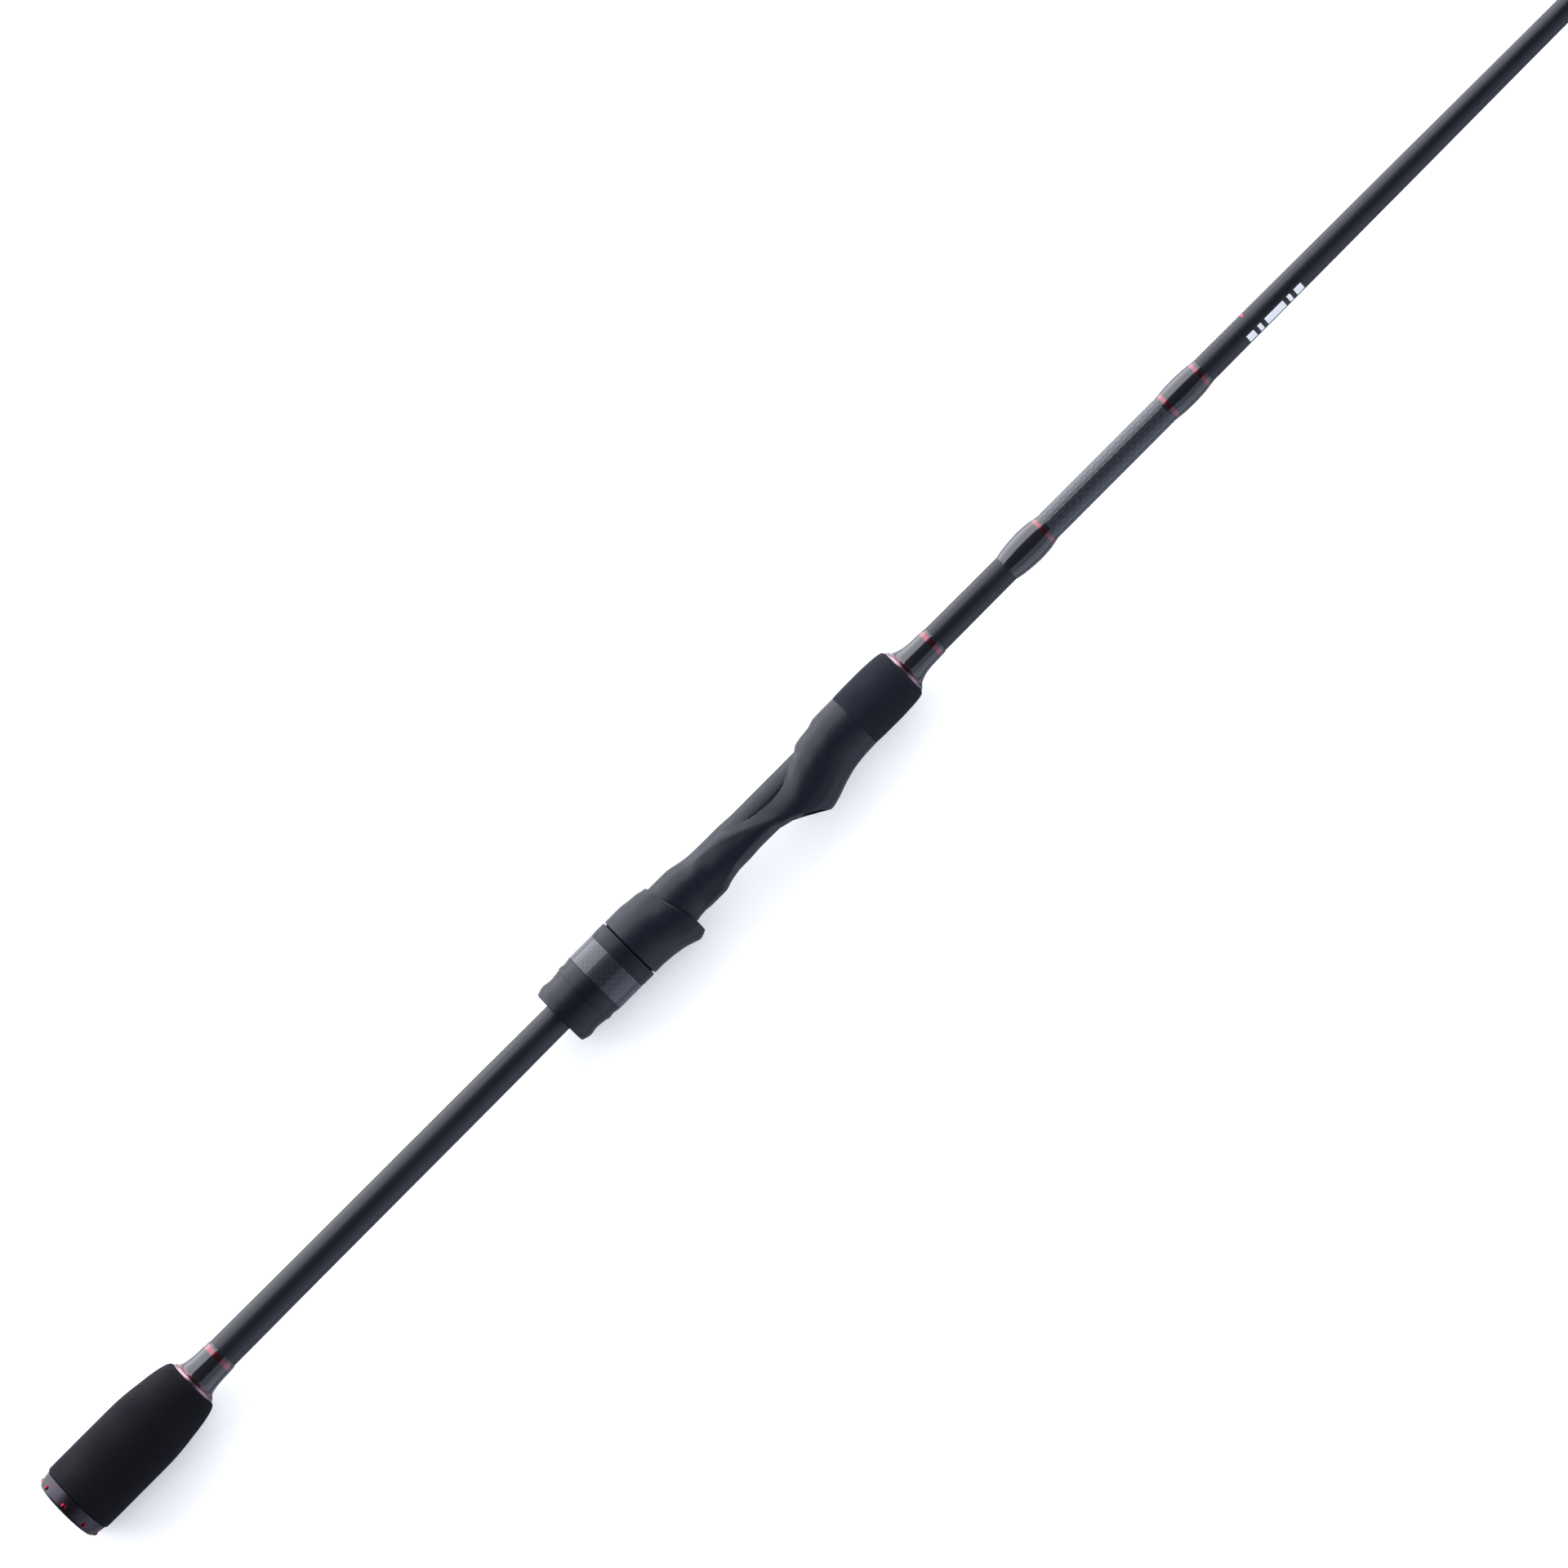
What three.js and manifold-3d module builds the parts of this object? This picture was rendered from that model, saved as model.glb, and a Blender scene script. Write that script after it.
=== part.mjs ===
// One-piece carbon spinning rod, 2134 mm (7 ft 0 in) long, medium action, split rear grip, skeleton reel seat with a
// screwed hood nut, seven line guides and a tip-top.
//
// Units are millimetres. +X runs from the butt to the tip along the blank's axis, the reel and the line guides are on the -Y side,
// and +Z is up when the rod lies on its side. Stations are given from a datum plane 1.5 mm behind the butt cap's end, and the
// whole assembly is moved back by that at the end, so that the origin is the centre of the flat on the cap's end.
import * as THREE from "three";
import { mergeVertices } from "three/addons/utils/BufferGeometryUtils.js";
import Module from "manifold-3d";

const wasm = await Module();
wasm.setup();

// ---------------------------------------------------------------- driving dimensions
const ROD_LENGTH = 2134;
const DATUM = 1.5; // from the datum plane to the butt cap's end
const SEG = 24; // sides of a full-size round
const THIN = 16; // sides of the blank and of everything fitted on it
const GAP = 0.06; // between pieces that are glued or pressed together
const SEAT_Y = -0.5; // axis of the reel seat's barrel, hood and nut, a little to the reel side of the blank's axis
const THREAD_PITCH = 2.5;
const THREAD_ROOT = 8.5;
const THREAD_CREST = 9.3;
const THREAD_SIDES = 12;
const BARREL_R = 9.8;
const HOOD_BORE = 10.1;
const BED_Y = -9.8; // the flat that the reel's foot bears on
const NUT_START = 239.6;
const NUT_END = 272.85;
const HOOD_START = 273.3;
const FOREGRIP_START = 382.0;
const FOREGRIP_END = 405.2;
const STUDS = 8;
const STUD_X = 4.05;

// blank: [distance from the butt, outside radius, wall]
const BLANK = [
  [3.2, 5.95, 1.25],
  [90, 5.84, 1.25],
  [110, 5.74, 1.25],
  [210, 5.58, 1.2],
  [238, 5.42, 1.2],
  [404, 5.14, 1.18],
  [455, 5.0, 1.15],
  [531, 4.88, 1.12],
  [600, 4.67, 1.1],
  [650, 4.47, 1.1],
  [700, 4.22, 1.08],
  [914, 3.45, 1.0],
  [1200, 2.64, 0.95],
  [1500, 1.96, 0.82],
  [1800, 1.38, 0.66],
  [2050, 0.98, 0.52],
  [2127, 0.88, 0.48],
];
const blankR = (x) => {
  if (x <= BLANK[0][0]) return BLANK[0][1];
  for (let i = 1; i < BLANK.length; i++)
    if (x <= BLANK[i][0]) {
      const [a, ra] = BLANK[i - 1],
        [b, rb] = BLANK[i];
      return ra + ((rb - ra) * (x - a)) / (b - a);
    }
  return BLANK[BLANK.length - 1][1];
};

// ---------------------------------------------------------------- helpers
const volumeOf = (g) => {
  const p = (g.index ? g.toNonIndexed() : g).attributes.position.array;
  let v = 0;
  for (let i = 0; i < p.length; i += 9)
    v +=
      p[i] * (p[i + 4] * p[i + 8] - p[i + 5] * p[i + 7]) -
      p[i + 1] * (p[i + 3] * p[i + 8] - p[i + 5] * p[i + 6]) +
      p[i + 2] * (p[i + 3] * p[i + 7] - p[i + 4] * p[i + 6]);
  return v / 6;
};

// Revolves [x, radius] points about the X axis, or about a parallel axis at y = cy.
function lathe(points, seg = SEG, cy = 0) {
  const make = (list) =>
    new THREE.LatheGeometry(
      list.map(([x, r]) => new THREE.Vector2(r, x)),
      seg,
    ).rotateZ(-Math.PI / 2);
  let g = make(points);
  if (volumeOf(g) < 0) g = make([...points].reverse());
  return g.translate(0, cy, 0);
}

// A sleeve: the outside as [x, radius] points, and the inside radius as a number or a function of x.
function sleeve(outer, inner, seg = THIN, cy = 0) {
  const ri = typeof inner === "function" ? inner : () => inner;
  const back = [...outer].reverse().map(([x]) => [x, ri(x)]);
  const loop = [...outer, back[0], back[back.length - 1], outer[0]];
  if (typeof inner === "function") loop.splice(outer.length, 2, ...back);
  return lathe(loop, seg, cy);
}

// Extrudes an [x, y] outline from z0 to z1.
function plate(points, z0, z1) {
  const shape = new THREE.Shape(points.map(([x, y]) => new THREE.Vector2(x, y)));
  return new THREE.ExtrudeGeometry(shape, {
    depth: z1 - z0,
    bevelEnabled: false,
  }).translate(0, 0, z0);
}

// Extrudes a [y, z] section from x0 to x1.
function bar(points, x0, x1) {
  const shape = new THREE.Shape(points.map(([y, z]) => new THREE.Vector2(y, z)));
  const turn = new THREE.Matrix4().set(0, 0, 1, 0, 1, 0, 0, 0, 0, 1, 0, 0, 0, 0, 0, 1);
  return new THREE.ExtrudeGeometry(shape, { depth: x1 - x0, bevelEnabled: false })
    .applyMatrix4(turn)
    .translate(x0, 0, 0);
}

const box = (x0, x1, y0, y1, z0, z1) =>
  new THREE.BoxGeometry(x1 - x0, y1 - y0, z1 - z0).translate(
    (x0 + x1) / 2,
    (y0 + y1) / 2,
    (z0 + z1) / 2,
  );

// A flat strut of section w (across) by t, along straight pieces through the points.
function strut(points, w, t) {
  const section = new THREE.Shape([
    new THREE.Vector2(-t / 2, -w / 2),
    new THREE.Vector2(t / 2, -w / 2),
    new THREE.Vector2(t / 2, w / 2),
    new THREE.Vector2(-t / 2, w / 2),
  ]);
  const path = new THREE.CatmullRomCurve3(
    points.map((p) => new THREE.Vector3(...p)),
    false,
    "centripetal",
  );
  return new THREE.ExtrudeGeometry(section, {
    steps: points.length > 2 ? 3 : 1,
    extrudePath: path,
    bevelEnabled: false,
  });
}

function solid(g) {
  const c = g.index ? g.toNonIndexed() : g.clone();
  c.deleteAttribute("normal");
  c.deleteAttribute("uv");
  const m = mergeVertices(c, 1e-4);
  const made = new wasm.Manifold(
    new wasm.Mesh({
      numProp: 3,
      vertProperties: m.attributes.position.array,
      triVerts: new Uint32Array(m.index.array),
    }),
  );
  if (made.volume() < 0) throw new Error("a solid is inside out");
  return made;
}
const join = (...list) => list.map((g) => (g instanceof THREE.BufferGeometry ? solid(g) : g)).reduce((a, b) => a.add(b));
const cut = (a, ...list) =>
  list.map((g) => (g instanceof THREE.BufferGeometry ? solid(g) : g)).reduce((s, b) => s.subtract(b), a instanceof THREE.BufferGeometry ? solid(a) : a);
const common = (a, b) => (a instanceof THREE.BufferGeometry ? solid(a) : a).intersect(b instanceof THREE.BufferGeometry ? solid(b) : b);
function geometry(s) {
  const m = s.simplify(0.003).getMesh(),
    n = m.numProp,
    v = new Float32Array(m.numVert * 3);
  for (let i = 0; i < m.numVert; i++) v.set(m.vertProperties.subarray(i * n, i * n + 3), i * 3);
  const g = new THREE.BufferGeometry()
    .setAttribute("position", new THREE.BufferAttribute(v, 3))
    .setIndex(new THREE.BufferAttribute(m.triVerts, 1));
  g.computeVertexNormals();
  return g;
}

// A right-hand screw about the X axis: a V ridge on a root cylinder.
function screw(x0, turns, root, crest, seg) {
  const off = [0, THREAD_PITCH / 2];
  const rad = [root, crest];
  const rows = 2 * turns;
  const pos = [],
    id = new Map();
  const at = (i, j) => {
    const key = i + "," + j;
    if (!id.has(key)) {
      const a = (2 * Math.PI * j) / seg,
        r = rad[i % 2];
      const x = x0 + Math.floor(i / 2) * THREAD_PITCH + off[i % 2] + (THREAD_PITCH * j) / seg;
      id.set(key, pos.length / 3);
      pos.push(x, r * Math.cos(a), r * Math.sin(a));
    }
    return id.get(key);
  };
  const wrap = (i, j) => (j === seg ? at(i + 2, 0) : at(i, j));
  const tri = [];
  for (let j = 0; j < seg; j++)
    for (let i = 0; i < rows; i++) {
      const a = at(i, j),
        b = at(i + 1, j),
        c = wrap(i + 1, j + 1),
        d = wrap(i, j + 1);
      tri.push(a, c, b, a, d, c);
    }
  const fan = (loop, x, flip) => {
    const hub = pos.length / 3;
    pos.push(x, 0, 0);
    loop.forEach((p, k) => {
      const q = loop[(k + 1) % loop.length];
      tri.push(...(flip ? [hub, q, p] : [hub, p, q]));
    });
  };
  const low = [],
    high = [];
  for (let j = 0; j < seg; j++) low.push(at(0, j));
  for (let i = 2; i > 0; i--) low.push(at(i, 0));
  for (let j = 0; j < seg; j++) high.push(at(rows, j));
  for (let i = 2; i > 0; i--) high.push(at(rows + i, 0));
  fan(low, x0 + THREAD_PITCH / 2, true);
  fan(high, x0 + turns * THREAD_PITCH + THREAD_PITCH / 2, false);
  const g = new THREE.BufferGeometry()
    .setAttribute("position", new THREE.BufferAttribute(new Float32Array(pos), 3))
    .setIndex(tri);
  if (volumeOf(g) < 0) {
    for (let k = 0; k < tri.length; k += 3) [tri[k + 1], tri[k + 2]] = [tri[k + 2], tri[k + 1]];
    g.setIndex(tri);
  }
  return g;
}

// ---------------------------------------------------------------- materials
const material = (color, roughness, metalness = 0) => new THREE.MeshStandardMaterial({ color, roughness, metalness });
const MAT = {
  carbon: material(0x23262c, 0.42),
  eva: material(0x0d0e11, 0.95),
  resin: material(0x1f232b, 0.6),
  gunmetal: material(0x35383e, 0.35, 0.8),
  red: material(0xb01222, 0.3, 0.5),
  redThread: material(0xa5192a, 0.35),
  thread: material(0x0a0b0d, 0.12),
  check: material(0x8a8d94, 0.3, 0.9),
  weave: material(0x3a3e46, 0.35),
  steel: material(0x4a4d52, 0.3, 0.9),
  ceramic: material(0x16181c, 0.15),
  tape: material(0x9c8f6a, 0.8),
};

const rod = new THREE.Group();
rod.name = "spinning_rod";
const names = new Set();
function piece(parent, name, shape, mat) {
  const g = shape instanceof THREE.BufferGeometry ? shape : geometry(shape);
  const mesh = new THREE.Mesh(g, mat);
  mesh.name = name;
  names.add(name);
  parent.add(mesh);
  return mesh;
}

// ---------------------------------------------------------------- blank
piece(
  rod,
  "blank",
  (() => {
    const outer = BLANK.map(([x, r]) => [x, r]);
    const inner = [BLANK[0], BLANK[7], BLANK[10], BLANK[13], BLANK[16]].map(([x, r, w]) => [x, r - w]).reverse();
    return lathe([...outer, ...inner, outer[0]], THIN);
  })(),
  MAT.carbon,
);

// ---------------------------------------------------------------- rear grip with its studded end cap
const handle = new THREE.Group();
rod.add(handle);
{
  const capOuter = [
    [1.5, 0],
    [1.5, 7],
    [1.75, 9.8],
    [2.1, 11.6],
    [2.6, 12.3],
    [4.2, 12.95],
    [7.7, 13.45],
    [7.7, 9],
    [13, 9],
    [13, 6.05],
    [2.9, 6.05],
    [2.9, 0],
  ];
  const holes = [];
  for (let k = 0; k < STUDS; k++) {
    const a = ((k + 0.5) * 2 * Math.PI) / STUDS + 0.34;
    const at = (g) => g.rotateX(a).translate(STUD_X, 0, 0);
    // a round stud: straight shank, low domed head
    holes.push(at(new THREE.CylinderGeometry(1.02, 1.02, 5, 8).translate(0, 13, 0)));
    const head = new THREE.LatheGeometry(
      [
        [0, 10.7],
        [0.94, 10.7],
        [0.94, 12.95],
        [0.55, 13.35],
        [0, 13.35],
      ].map(([r, y]) => new THREE.Vector2(r, y)),
      8,
    );
    piece(handle, "butt_stud_" + (k + 1), at(head), MAT.red);
  }
  piece(handle, "butt_cap", cut(lathe(capOuter, SEG), ...holes), MAT.gunmetal);

  const grip = [
    [7.76, 13.6],
    [9.2, 14.0],
    [14, 14.05],
    [38, 14.0],
    [45, 13.6],
    [50, 13.0],
    [55.5, 12.3],
    [59.5, 11.5],
    [62.3, 10.75],
    [63.2, 9.9],
    [63.2, 9.2],
  ];
  piece(
    handle,
    "rear_grip",
    lathe([[7.76, 9.08], ...grip, [63.2, 6.02], [13.08, 6.02], [13.08, 9.08], [7.76, 9.08]], SEG),
    MAT.eva,
  );
  piece(
    handle,
    "rear_winding_check",
    sleeve(
      [
        [63.3, 9.1],
        [63.9, 9.0],
        [64.3, 8.0],
        [64.3, 7.95],
      ],
      6.0,
    ),
    MAT.check,
  );
  piece(handle, "rear_wrap_trim_lower", sleeve([[64.38, 7.75], [65.2, 7.2]], 5.98), MAT.redThread);
  piece(
    handle,
    "rear_wrap",
    cut(
      sleeve(
        [
          [65.28, 7.2],
          [67.5, 6.78],
          [71, 6.4],
          [75.5, 6.28],
          [77.0, 6.18],
          [77.8, 5.98],
        ],
        5.93,
      ),
      sleeve([[74.85, 8], [76.95, 8]], 6.0),
    ),
    MAT.thread,
  );
  piece(handle, "rear_wrap_trim_upper", sleeve([[74.92, 6.29], [76.88, 6.19]], 6.06), MAT.redThread);
}

// ---------------------------------------------------------------- reel seat
const seat = new THREE.Group();
rod.add(seat);

// Half sections of the seat body, from the back (+Y) round the side to the reel side (-Y), as [y, z] points:
// back, back arc, window edge, flare, ridge, side, rim, floor, reel side. The other half mirrors it.
const ring = (c, r, bottom) => [
  [c + r, 0],
  ...[32, 50, 68, 90, 118, 141, 161].map((d) => [c + r * Math.cos((d * Math.PI) / 180), r * Math.sin((d * Math.PI) / 180)]),
  [bottom ?? c - r, 0],
];
const BODY_SECTIONS = [
  [299.5, ring(SEAT_Y, 9.7, BED_Y)],
  [303, [[8.6, 0], [7.4, 4.9], [5.9, 6.9], [3.8, 8.4], [0.5, 9.5], [-4.6, 8.9], [-8.2, 6.8], [BED_Y, 6.0], [BED_Y, 0]]],
  [306, [[7.6, 0], [6.3, 4.5], [5.6, 6.2], [4.6, 7.4], [2.5, 8.9], [-4.0, 9.1], [-8.3, 6.9], [BED_Y, 6.1], [BED_Y, 0]]],
  [309.5, [[6.6, 0], [5.2, 4.0], [5.3, 5.4], [4.9, 6.6], [4.1, 8.0], [-3.5, 9.2], [-8.4, 6.9], [BED_Y, 6.1], [BED_Y, 0]]],
  [314, [[6.6, 0], [5.1, 4.2], [5.1, 5.25], [4.6, 6.4], [3.8, 7.6], [-3.0, 9.2], [-7.8, 7.7], [-8.6, 4.6], [-8.8, 0]]],
  [320, [[6.4, 0], [5.2, 3.8], [4.35, 5.85], [3.9, 6.8], [2.9, 7.9], [-2.5, 9.1], [-6.5, 8.3], [-7.4, 4.6], [-7.75, 0]]],
  [326, [[6.4, 0], [5.2, 3.8], [3.1, 6.55], [2.3, 7.4], [1.0, 8.5], [-3.0, 9.1], [-6.15, 8.6], [-7.4, 4.6], [-7.8, 0]]],
  [332, [[6.4, 0], [5.2, 3.8], [1.77, 7.04], [0.4, 7.9], [-1.5, 8.9], [-4.0, 9.2], [-6.1, 8.7], [-7.4, 4.6], [-7.85, 0]]],
  [338, [[6.4, 0], [5.2, 3.8], [1.04, 7.2], [-1.5, 8.2], [-4.2, 9.2], [-5.6, 9.3], [-6.6, 8.8], [-7.5, 4.6], [-7.95, 0]]],
  [343, [[6.4, 0], [5.2, 3.8], [0.88, 7.22], [-2.5, 8.7], [-6.0, 9.6], [-8.6, 9.4], [-11.8, 8.0], [-14.6, 4.6], [-16.2, 0]]],
  [347, [[6.4, 0], [5.2, 3.8], [1.04, 7.2], [-2.3, 9.0], [-6.3, 10.0], [-9.0, 9.7], [-12.2, 8.2], [-14.9, 4.8], [-16.2, 0]]],
  [351, [[6.4, 0], [5.2, 3.8], [2.0, 7.0], [-1.0, 9.0], [-4.5, 10.2], [-8.8, 9.9], [-12.3, 8.3], [-14.9, 4.9], [-16.1, 0]]],
  [355.4, [[6.5, 0], [5.4, 3.9], [4.28, 5.9], [2.2, 8.3], [-2.0, 10.2], [-8.2, 10.0], [-12.2, 8.2], [-14.8, 4.8], [-15.9, 0]]],
  [359.4, [[6.9, 0], [6.3, 3.0], [5.9, 4.2], [4.6, 7.4], [-0.6, 10.3], [-7.4, 9.9], [-11.6, 7.9], [-13.9, 4.6], [-15.0, 0]]],
  [361.6, [[8.4, 0], [7.4, 4.2], [6.2, 6.2], [4.2, 8.2], [-0.5, 10.3], [-7.0, 9.8], [-11.1, 7.7], [-13.3, 4.4], [-14.3, 0]]],
  [364, [[8.95, 0], [8.0, 4.3], [6.6, 6.6], [4.2, 8.7], [-0.3, 10.35], [-6.6, 9.6], [-10.4, 7.4], [-12.5, 4.2], [-13.4, 0]]],
  [369, [[9.55, 0], [8.6, 4.6], [6.9, 7.1], [4.3, 9.1], [-0.1, 10.45], [-6.0, 9.2], [-9.3, 6.8], [-11.1, 3.8], [-11.95, 0]]],
  [372.4, ring(0, 10.5, -11.3)],
  [377, ring(0, 10.6, -10.85)],
  [381.94, ring(0, 10.6, -10.65)],
];
const HOOD_SECTIONS = [
  [HOOD_START, ring(SEAT_Y, 11.85)],
  [HOOD_START + 0.5, ring(SEAT_Y, 12.15)],
  [280, ring(SEAT_Y, 12.15, -12.85)],
  [284.6, [[11.1, 0], [9.6, 6.1], [7.3, 8.9], [4.0, 10.9], [-0.7, 12.0], [-6.6, 11.0], [-10.2, 8.6], [-12.6, 4.4], [-13.4, 0]]],
  [287.4, [[10.85, 0], [9.4, 6.0], [7.2, 8.7], [4.0, 10.6], [-0.9, 11.7], [-7.2, 10.9], [-10.8, 8.6], [-13.2, 4.6], [-13.95, 0]]],
  [290.1, [[10.25, 0], [8.9, 5.7], [6.9, 8.3], [3.9, 10.2], [-1.0, 11.35], [-7.8, 10.7], [-11.6, 8.5], [-14.0, 4.8], [-14.8, 0]]],
  [292.9, [[10.0, 0], [8.7, 5.6], [6.8, 8.1], [3.9, 10.0], [-1.0, 11.1], [-8.2, 10.6], [-12.1, 8.5], [-14.7, 5.0], [-15.6, 0]]],
  [294.3, [[9.9, 0], [8.6, 5.5], [6.7, 8.0], [3.9, 9.9], [-1.0, 11.0], [-8.2, 10.5], [-12.0, 8.4], [-14.5, 4.9], [-15.3, 0]]],
  [296, [[9.8, 0], [8.5, 5.4], [6.6, 7.9], [3.8, 9.8], [-1.0, 10.9], [-8.0, 10.4], [-11.6, 8.2], [-13.7, 4.8], [-14.4, 0]]],
];

// A closed skin through half sections, each mirrored across the XY plane.
function loft(sections) {
  const pos = [],
    tri = [];
  const full = (half) => [...half, ...half.slice(1, -1).reverse().map(([y, z]) => [y, -z])];
  const n = full(sections[0][1]).length;
  for (const [x, half] of sections) for (const [y, z] of full(half)) pos.push(x, y, z);
  for (let i = 0; i + 1 < sections.length; i++)
    for (let j = 0; j < n; j++) {
      const a = i * n + j,
        b = i * n + ((j + 1) % n),
        c = a + n,
        d = b + n;
      tri.push(a, b, d, a, d, c);
    }
  const cap = (i, flip) => {
    const hub = pos.length / 3;
    const half = sections[i][1];
    pos.push(sections[i][0], (half[0][0] + half[half.length - 1][0]) / 2, 0);
    for (let j = 0; j < n; j++) {
      const a = i * n + j,
        b = i * n + ((j + 1) % n);
      tri.push(...(flip ? [hub, b, a] : [hub, a, b]));
    }
  };
  cap(0, true);
  cap(sections.length - 1, false);
  const g = new THREE.BufferGeometry()
    .setAttribute("position", new THREE.BufferAttribute(new Float32Array(pos), 3))
    .setIndex(tri);
  if (volumeOf(g) < 0) {
    for (let k = 0; k < tri.length; k += 3) [tri[k + 1], tri[k + 2]] = [tri[k + 2], tri[k + 1]];
    g.setIndex(tri);
  }
  return g;
}

// An arched pocket for a tongue of the reel's foot: flat floor, rounded cover, tapering from one end to the other.
function arch(x0, top0, x1, top1, floor, half0 = 7.4, half1 = 7.4) {
  const at = (top, h) => [
    [floor, 0],
    [floor, h * 0.5],
    [floor, h],
    [floor - 0.45 * (floor - top), h * 0.94],
    [floor - 0.82 * (floor - top), h * 0.66],
    [floor - 0.97 * (floor - top), h * 0.32],
    [top, 0],
  ];
  return loft([
    [x0, at(top0, half0)],
    [x1, at(top1, half1)],
  ]);
}

// The skeleton body: threaded barrel, a back window that shows the core tube, twisted side walls, the fixed hood and a nose
// that carries the foregrip.
{
  const thread = common(screw(235, 18, THREAD_ROOT, THREAD_CREST, THREAD_SIDES), lathe([[240.2, 0], [240.2, 12], [276, 12], [276, 0]], SEG)).translate([0, SEAT_Y, 0]);
  const barrel = lathe([[275.5, 0], [275.5, BARREL_R], [300.5, BARREL_R], [300.5, 0]], SEG, SEAT_Y);
  const nose = lathe([[380, 0], [380, 8.5], [404.9, 8.5], [404.9, 0]], THIN);
  // what is open below the side walls' rim, seen along Z
  const mouth = plate(
    [
      [338.4, -20],
      [355.9, -20],
      [355.4, -15.95],
      [354, -15.1],
      [351.2, -13.3],
      [348.5, -11.6],
      [345.7, -10.0],
      [342.9, -8.6],
      [340.2, -8.0],
      [338.4, -7.9],
    ],
    -12,
    12,
  );
  const pocket = arch(344.6, -17.0, 363.6, -12.1, BED_Y, 7.8, 6.2);
  const bore = lathe([[230, 0], [230, 7.06], [430, 7.06], [430, 0]], THIN);
  const keyway = box(236, 304.6, 7.6, 12, -1.5, 1.5);
  piece(seat, "seat_body", cut(join(thread, barrel, loft(BODY_SECTIONS), nose), mouth, pocket, bore, keyway), MAT.resin);
}
piece(seat, "seat_core_tube", sleeve([[240.4, 7.0], [404.7, 7.0]], 6.4), MAT.carbon);
piece(seat, "seat_arbor_rear", sleeve([[244, 6.34], [272, 6.34]], blankR(244) + 0.05), MAT.tape);
piece(seat, "seat_arbor_front", sleeve([[366, 6.34], [401, 6.34]], blankR(366) + 0.05), MAT.tape);

// The sliding hood, with the key that keeps it from turning and a lipped sleeve that the nut turns on.
const slidingHood = new THREE.Group();
seat.add(slidingHood);
{
  // the front edge leans, from 291.6 mm at the back to 295.8 mm at the lip
  const front = plate([[291.0, 14], [291.4, 10], [292.2, 6], [293.2, 1], [294.2, -3], [295.1, -6.5], [295.8, -9.6], [295.8, -18], [305, -18], [305, 14]], -14, 14);
  const sleeveTail = lathe([[264.6, 0], [264.6, 10.95], [264.9, 11.2], [265.9, 11.2], [266.4, 10.9], [275, 10.9], [275, 0]], SEG, SEAT_Y);
  const bore = lathe([[260, 0], [260, HOOD_BORE], [300, HOOD_BORE], [300, 0]], SEG, SEAT_Y);
  const pocket = arch(283.5, -11.7, 298, -14.35, -6.2, 8.3, 8.6);
  const key = box(277, 288, 8.2, 10.6, -1.25, 1.25);
  piece(slidingHood, "sliding_hood", join(cut(join(loft(HOOD_SECTIONS), sleeveTail), front, bore, pocket), key), MAT.resin);
}
// The hood nut: a threaded core with a carbon ring and a trim ring on it.
const hoodNut = new THREE.Group();
hoodNut.position.set(0, SEAT_Y, 0);
slidingHood.add(hoodNut);
{
  const core = lathe(
    [
      [NUT_START, 0],
      [NUT_START, 10.4],
      [240.6, 11.0],
      [241.8, 11.45],
      [243.3, 11.66],
      [245.6, 11.24],
      [249.2, 11.5],
      [249.4, 11.42],
      [249.7, 11.6],
      [251.7, 12.0],
      [253.2, 11.85],
      [256.3, 12.2],
      [256.35, 11.75],
      [NUT_END, 11.75],
      [NUT_END, 0],
    ],
    SEG,
  );
  // the thread's counterpart, with running clearance on every flank
  const tap = common(screw(235, 12, THREAD_ROOT + 0.36, THREAD_CREST + 0.39, THREAD_SIDES), lathe([[241, 0], [241, 12], [257, 12], [257, 0]], SEG));
  const rear = lathe([[238, 0], [238, 9.8], [243.6, 9.8], [243.6, 0]], SEG);
  const front = lathe([[255.6, 0], [255.6, HOOD_BORE], [264.2, HOOD_BORE], [264.2, 11.35], [269.5, 11.35], [269.7, 11.05], [275, 11.05], [275, 0]], SEG);
  piece(hoodNut, "nut_core", cut(core, tap, rear, front), MAT.resin);
  piece(hoodNut, "nut_carbon_ring", sleeve([[256.42, 12.2], [267.05, 12.2]], 11.82, SEG), MAT.weave);
  piece(hoodNut, "nut_front_ring", sleeve([[267.12, 12.1], [267.4, 12.25], [272.55, 12.25], [NUT_END, 12.0]], 11.82, SEG), MAT.resin);
}

// ---------------------------------------------------------------- foregrip and the wraps in front of it
const front = new THREE.Group();
rod.add(front);
piece(
  front,
  "foregrip",
  sleeve(
    [
      [FOREGRIP_START, 10.6],
      [387, 10.75],
      [393, 10.8],
      [399, 10.62],
      [403.6, 10.2],
      [404.9, 9.6],
      [FOREGRIP_END, 9.0],
    ],
    8.58,
    SEG,
  ),
  MAT.eva,
);
piece(front, "front_winding_check", sleeve([[405.26, 9.0], [405.9, 8.8], [406.2, 7.9], [406.2, 7.85]], 5.3), MAT.check);
piece(front, "front_wrap_trim_lower", sleeve([[406.28, 7.55], [407.1, 7.15]], 5.28), MAT.redThread);
piece(
  front,
  "front_wrap",
  cut(
    sleeve(
      [
        [407.18, 7.15],
        [409.0, 6.42],
        [411.2, 5.86],
        [414, 5.57],
        [419.6, 5.42],
        [420.8, 5.22],
      ],
      5.19,
    ),
    sleeve([[417.95, 8], [419.85, 8]], 5.22),
  ),
  MAT.thread,
);
piece(front, "front_wrap_trim_upper", sleeve([[418.02, 5.49], [419.78, 5.4]], 5.28), MAT.redThread);

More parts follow.
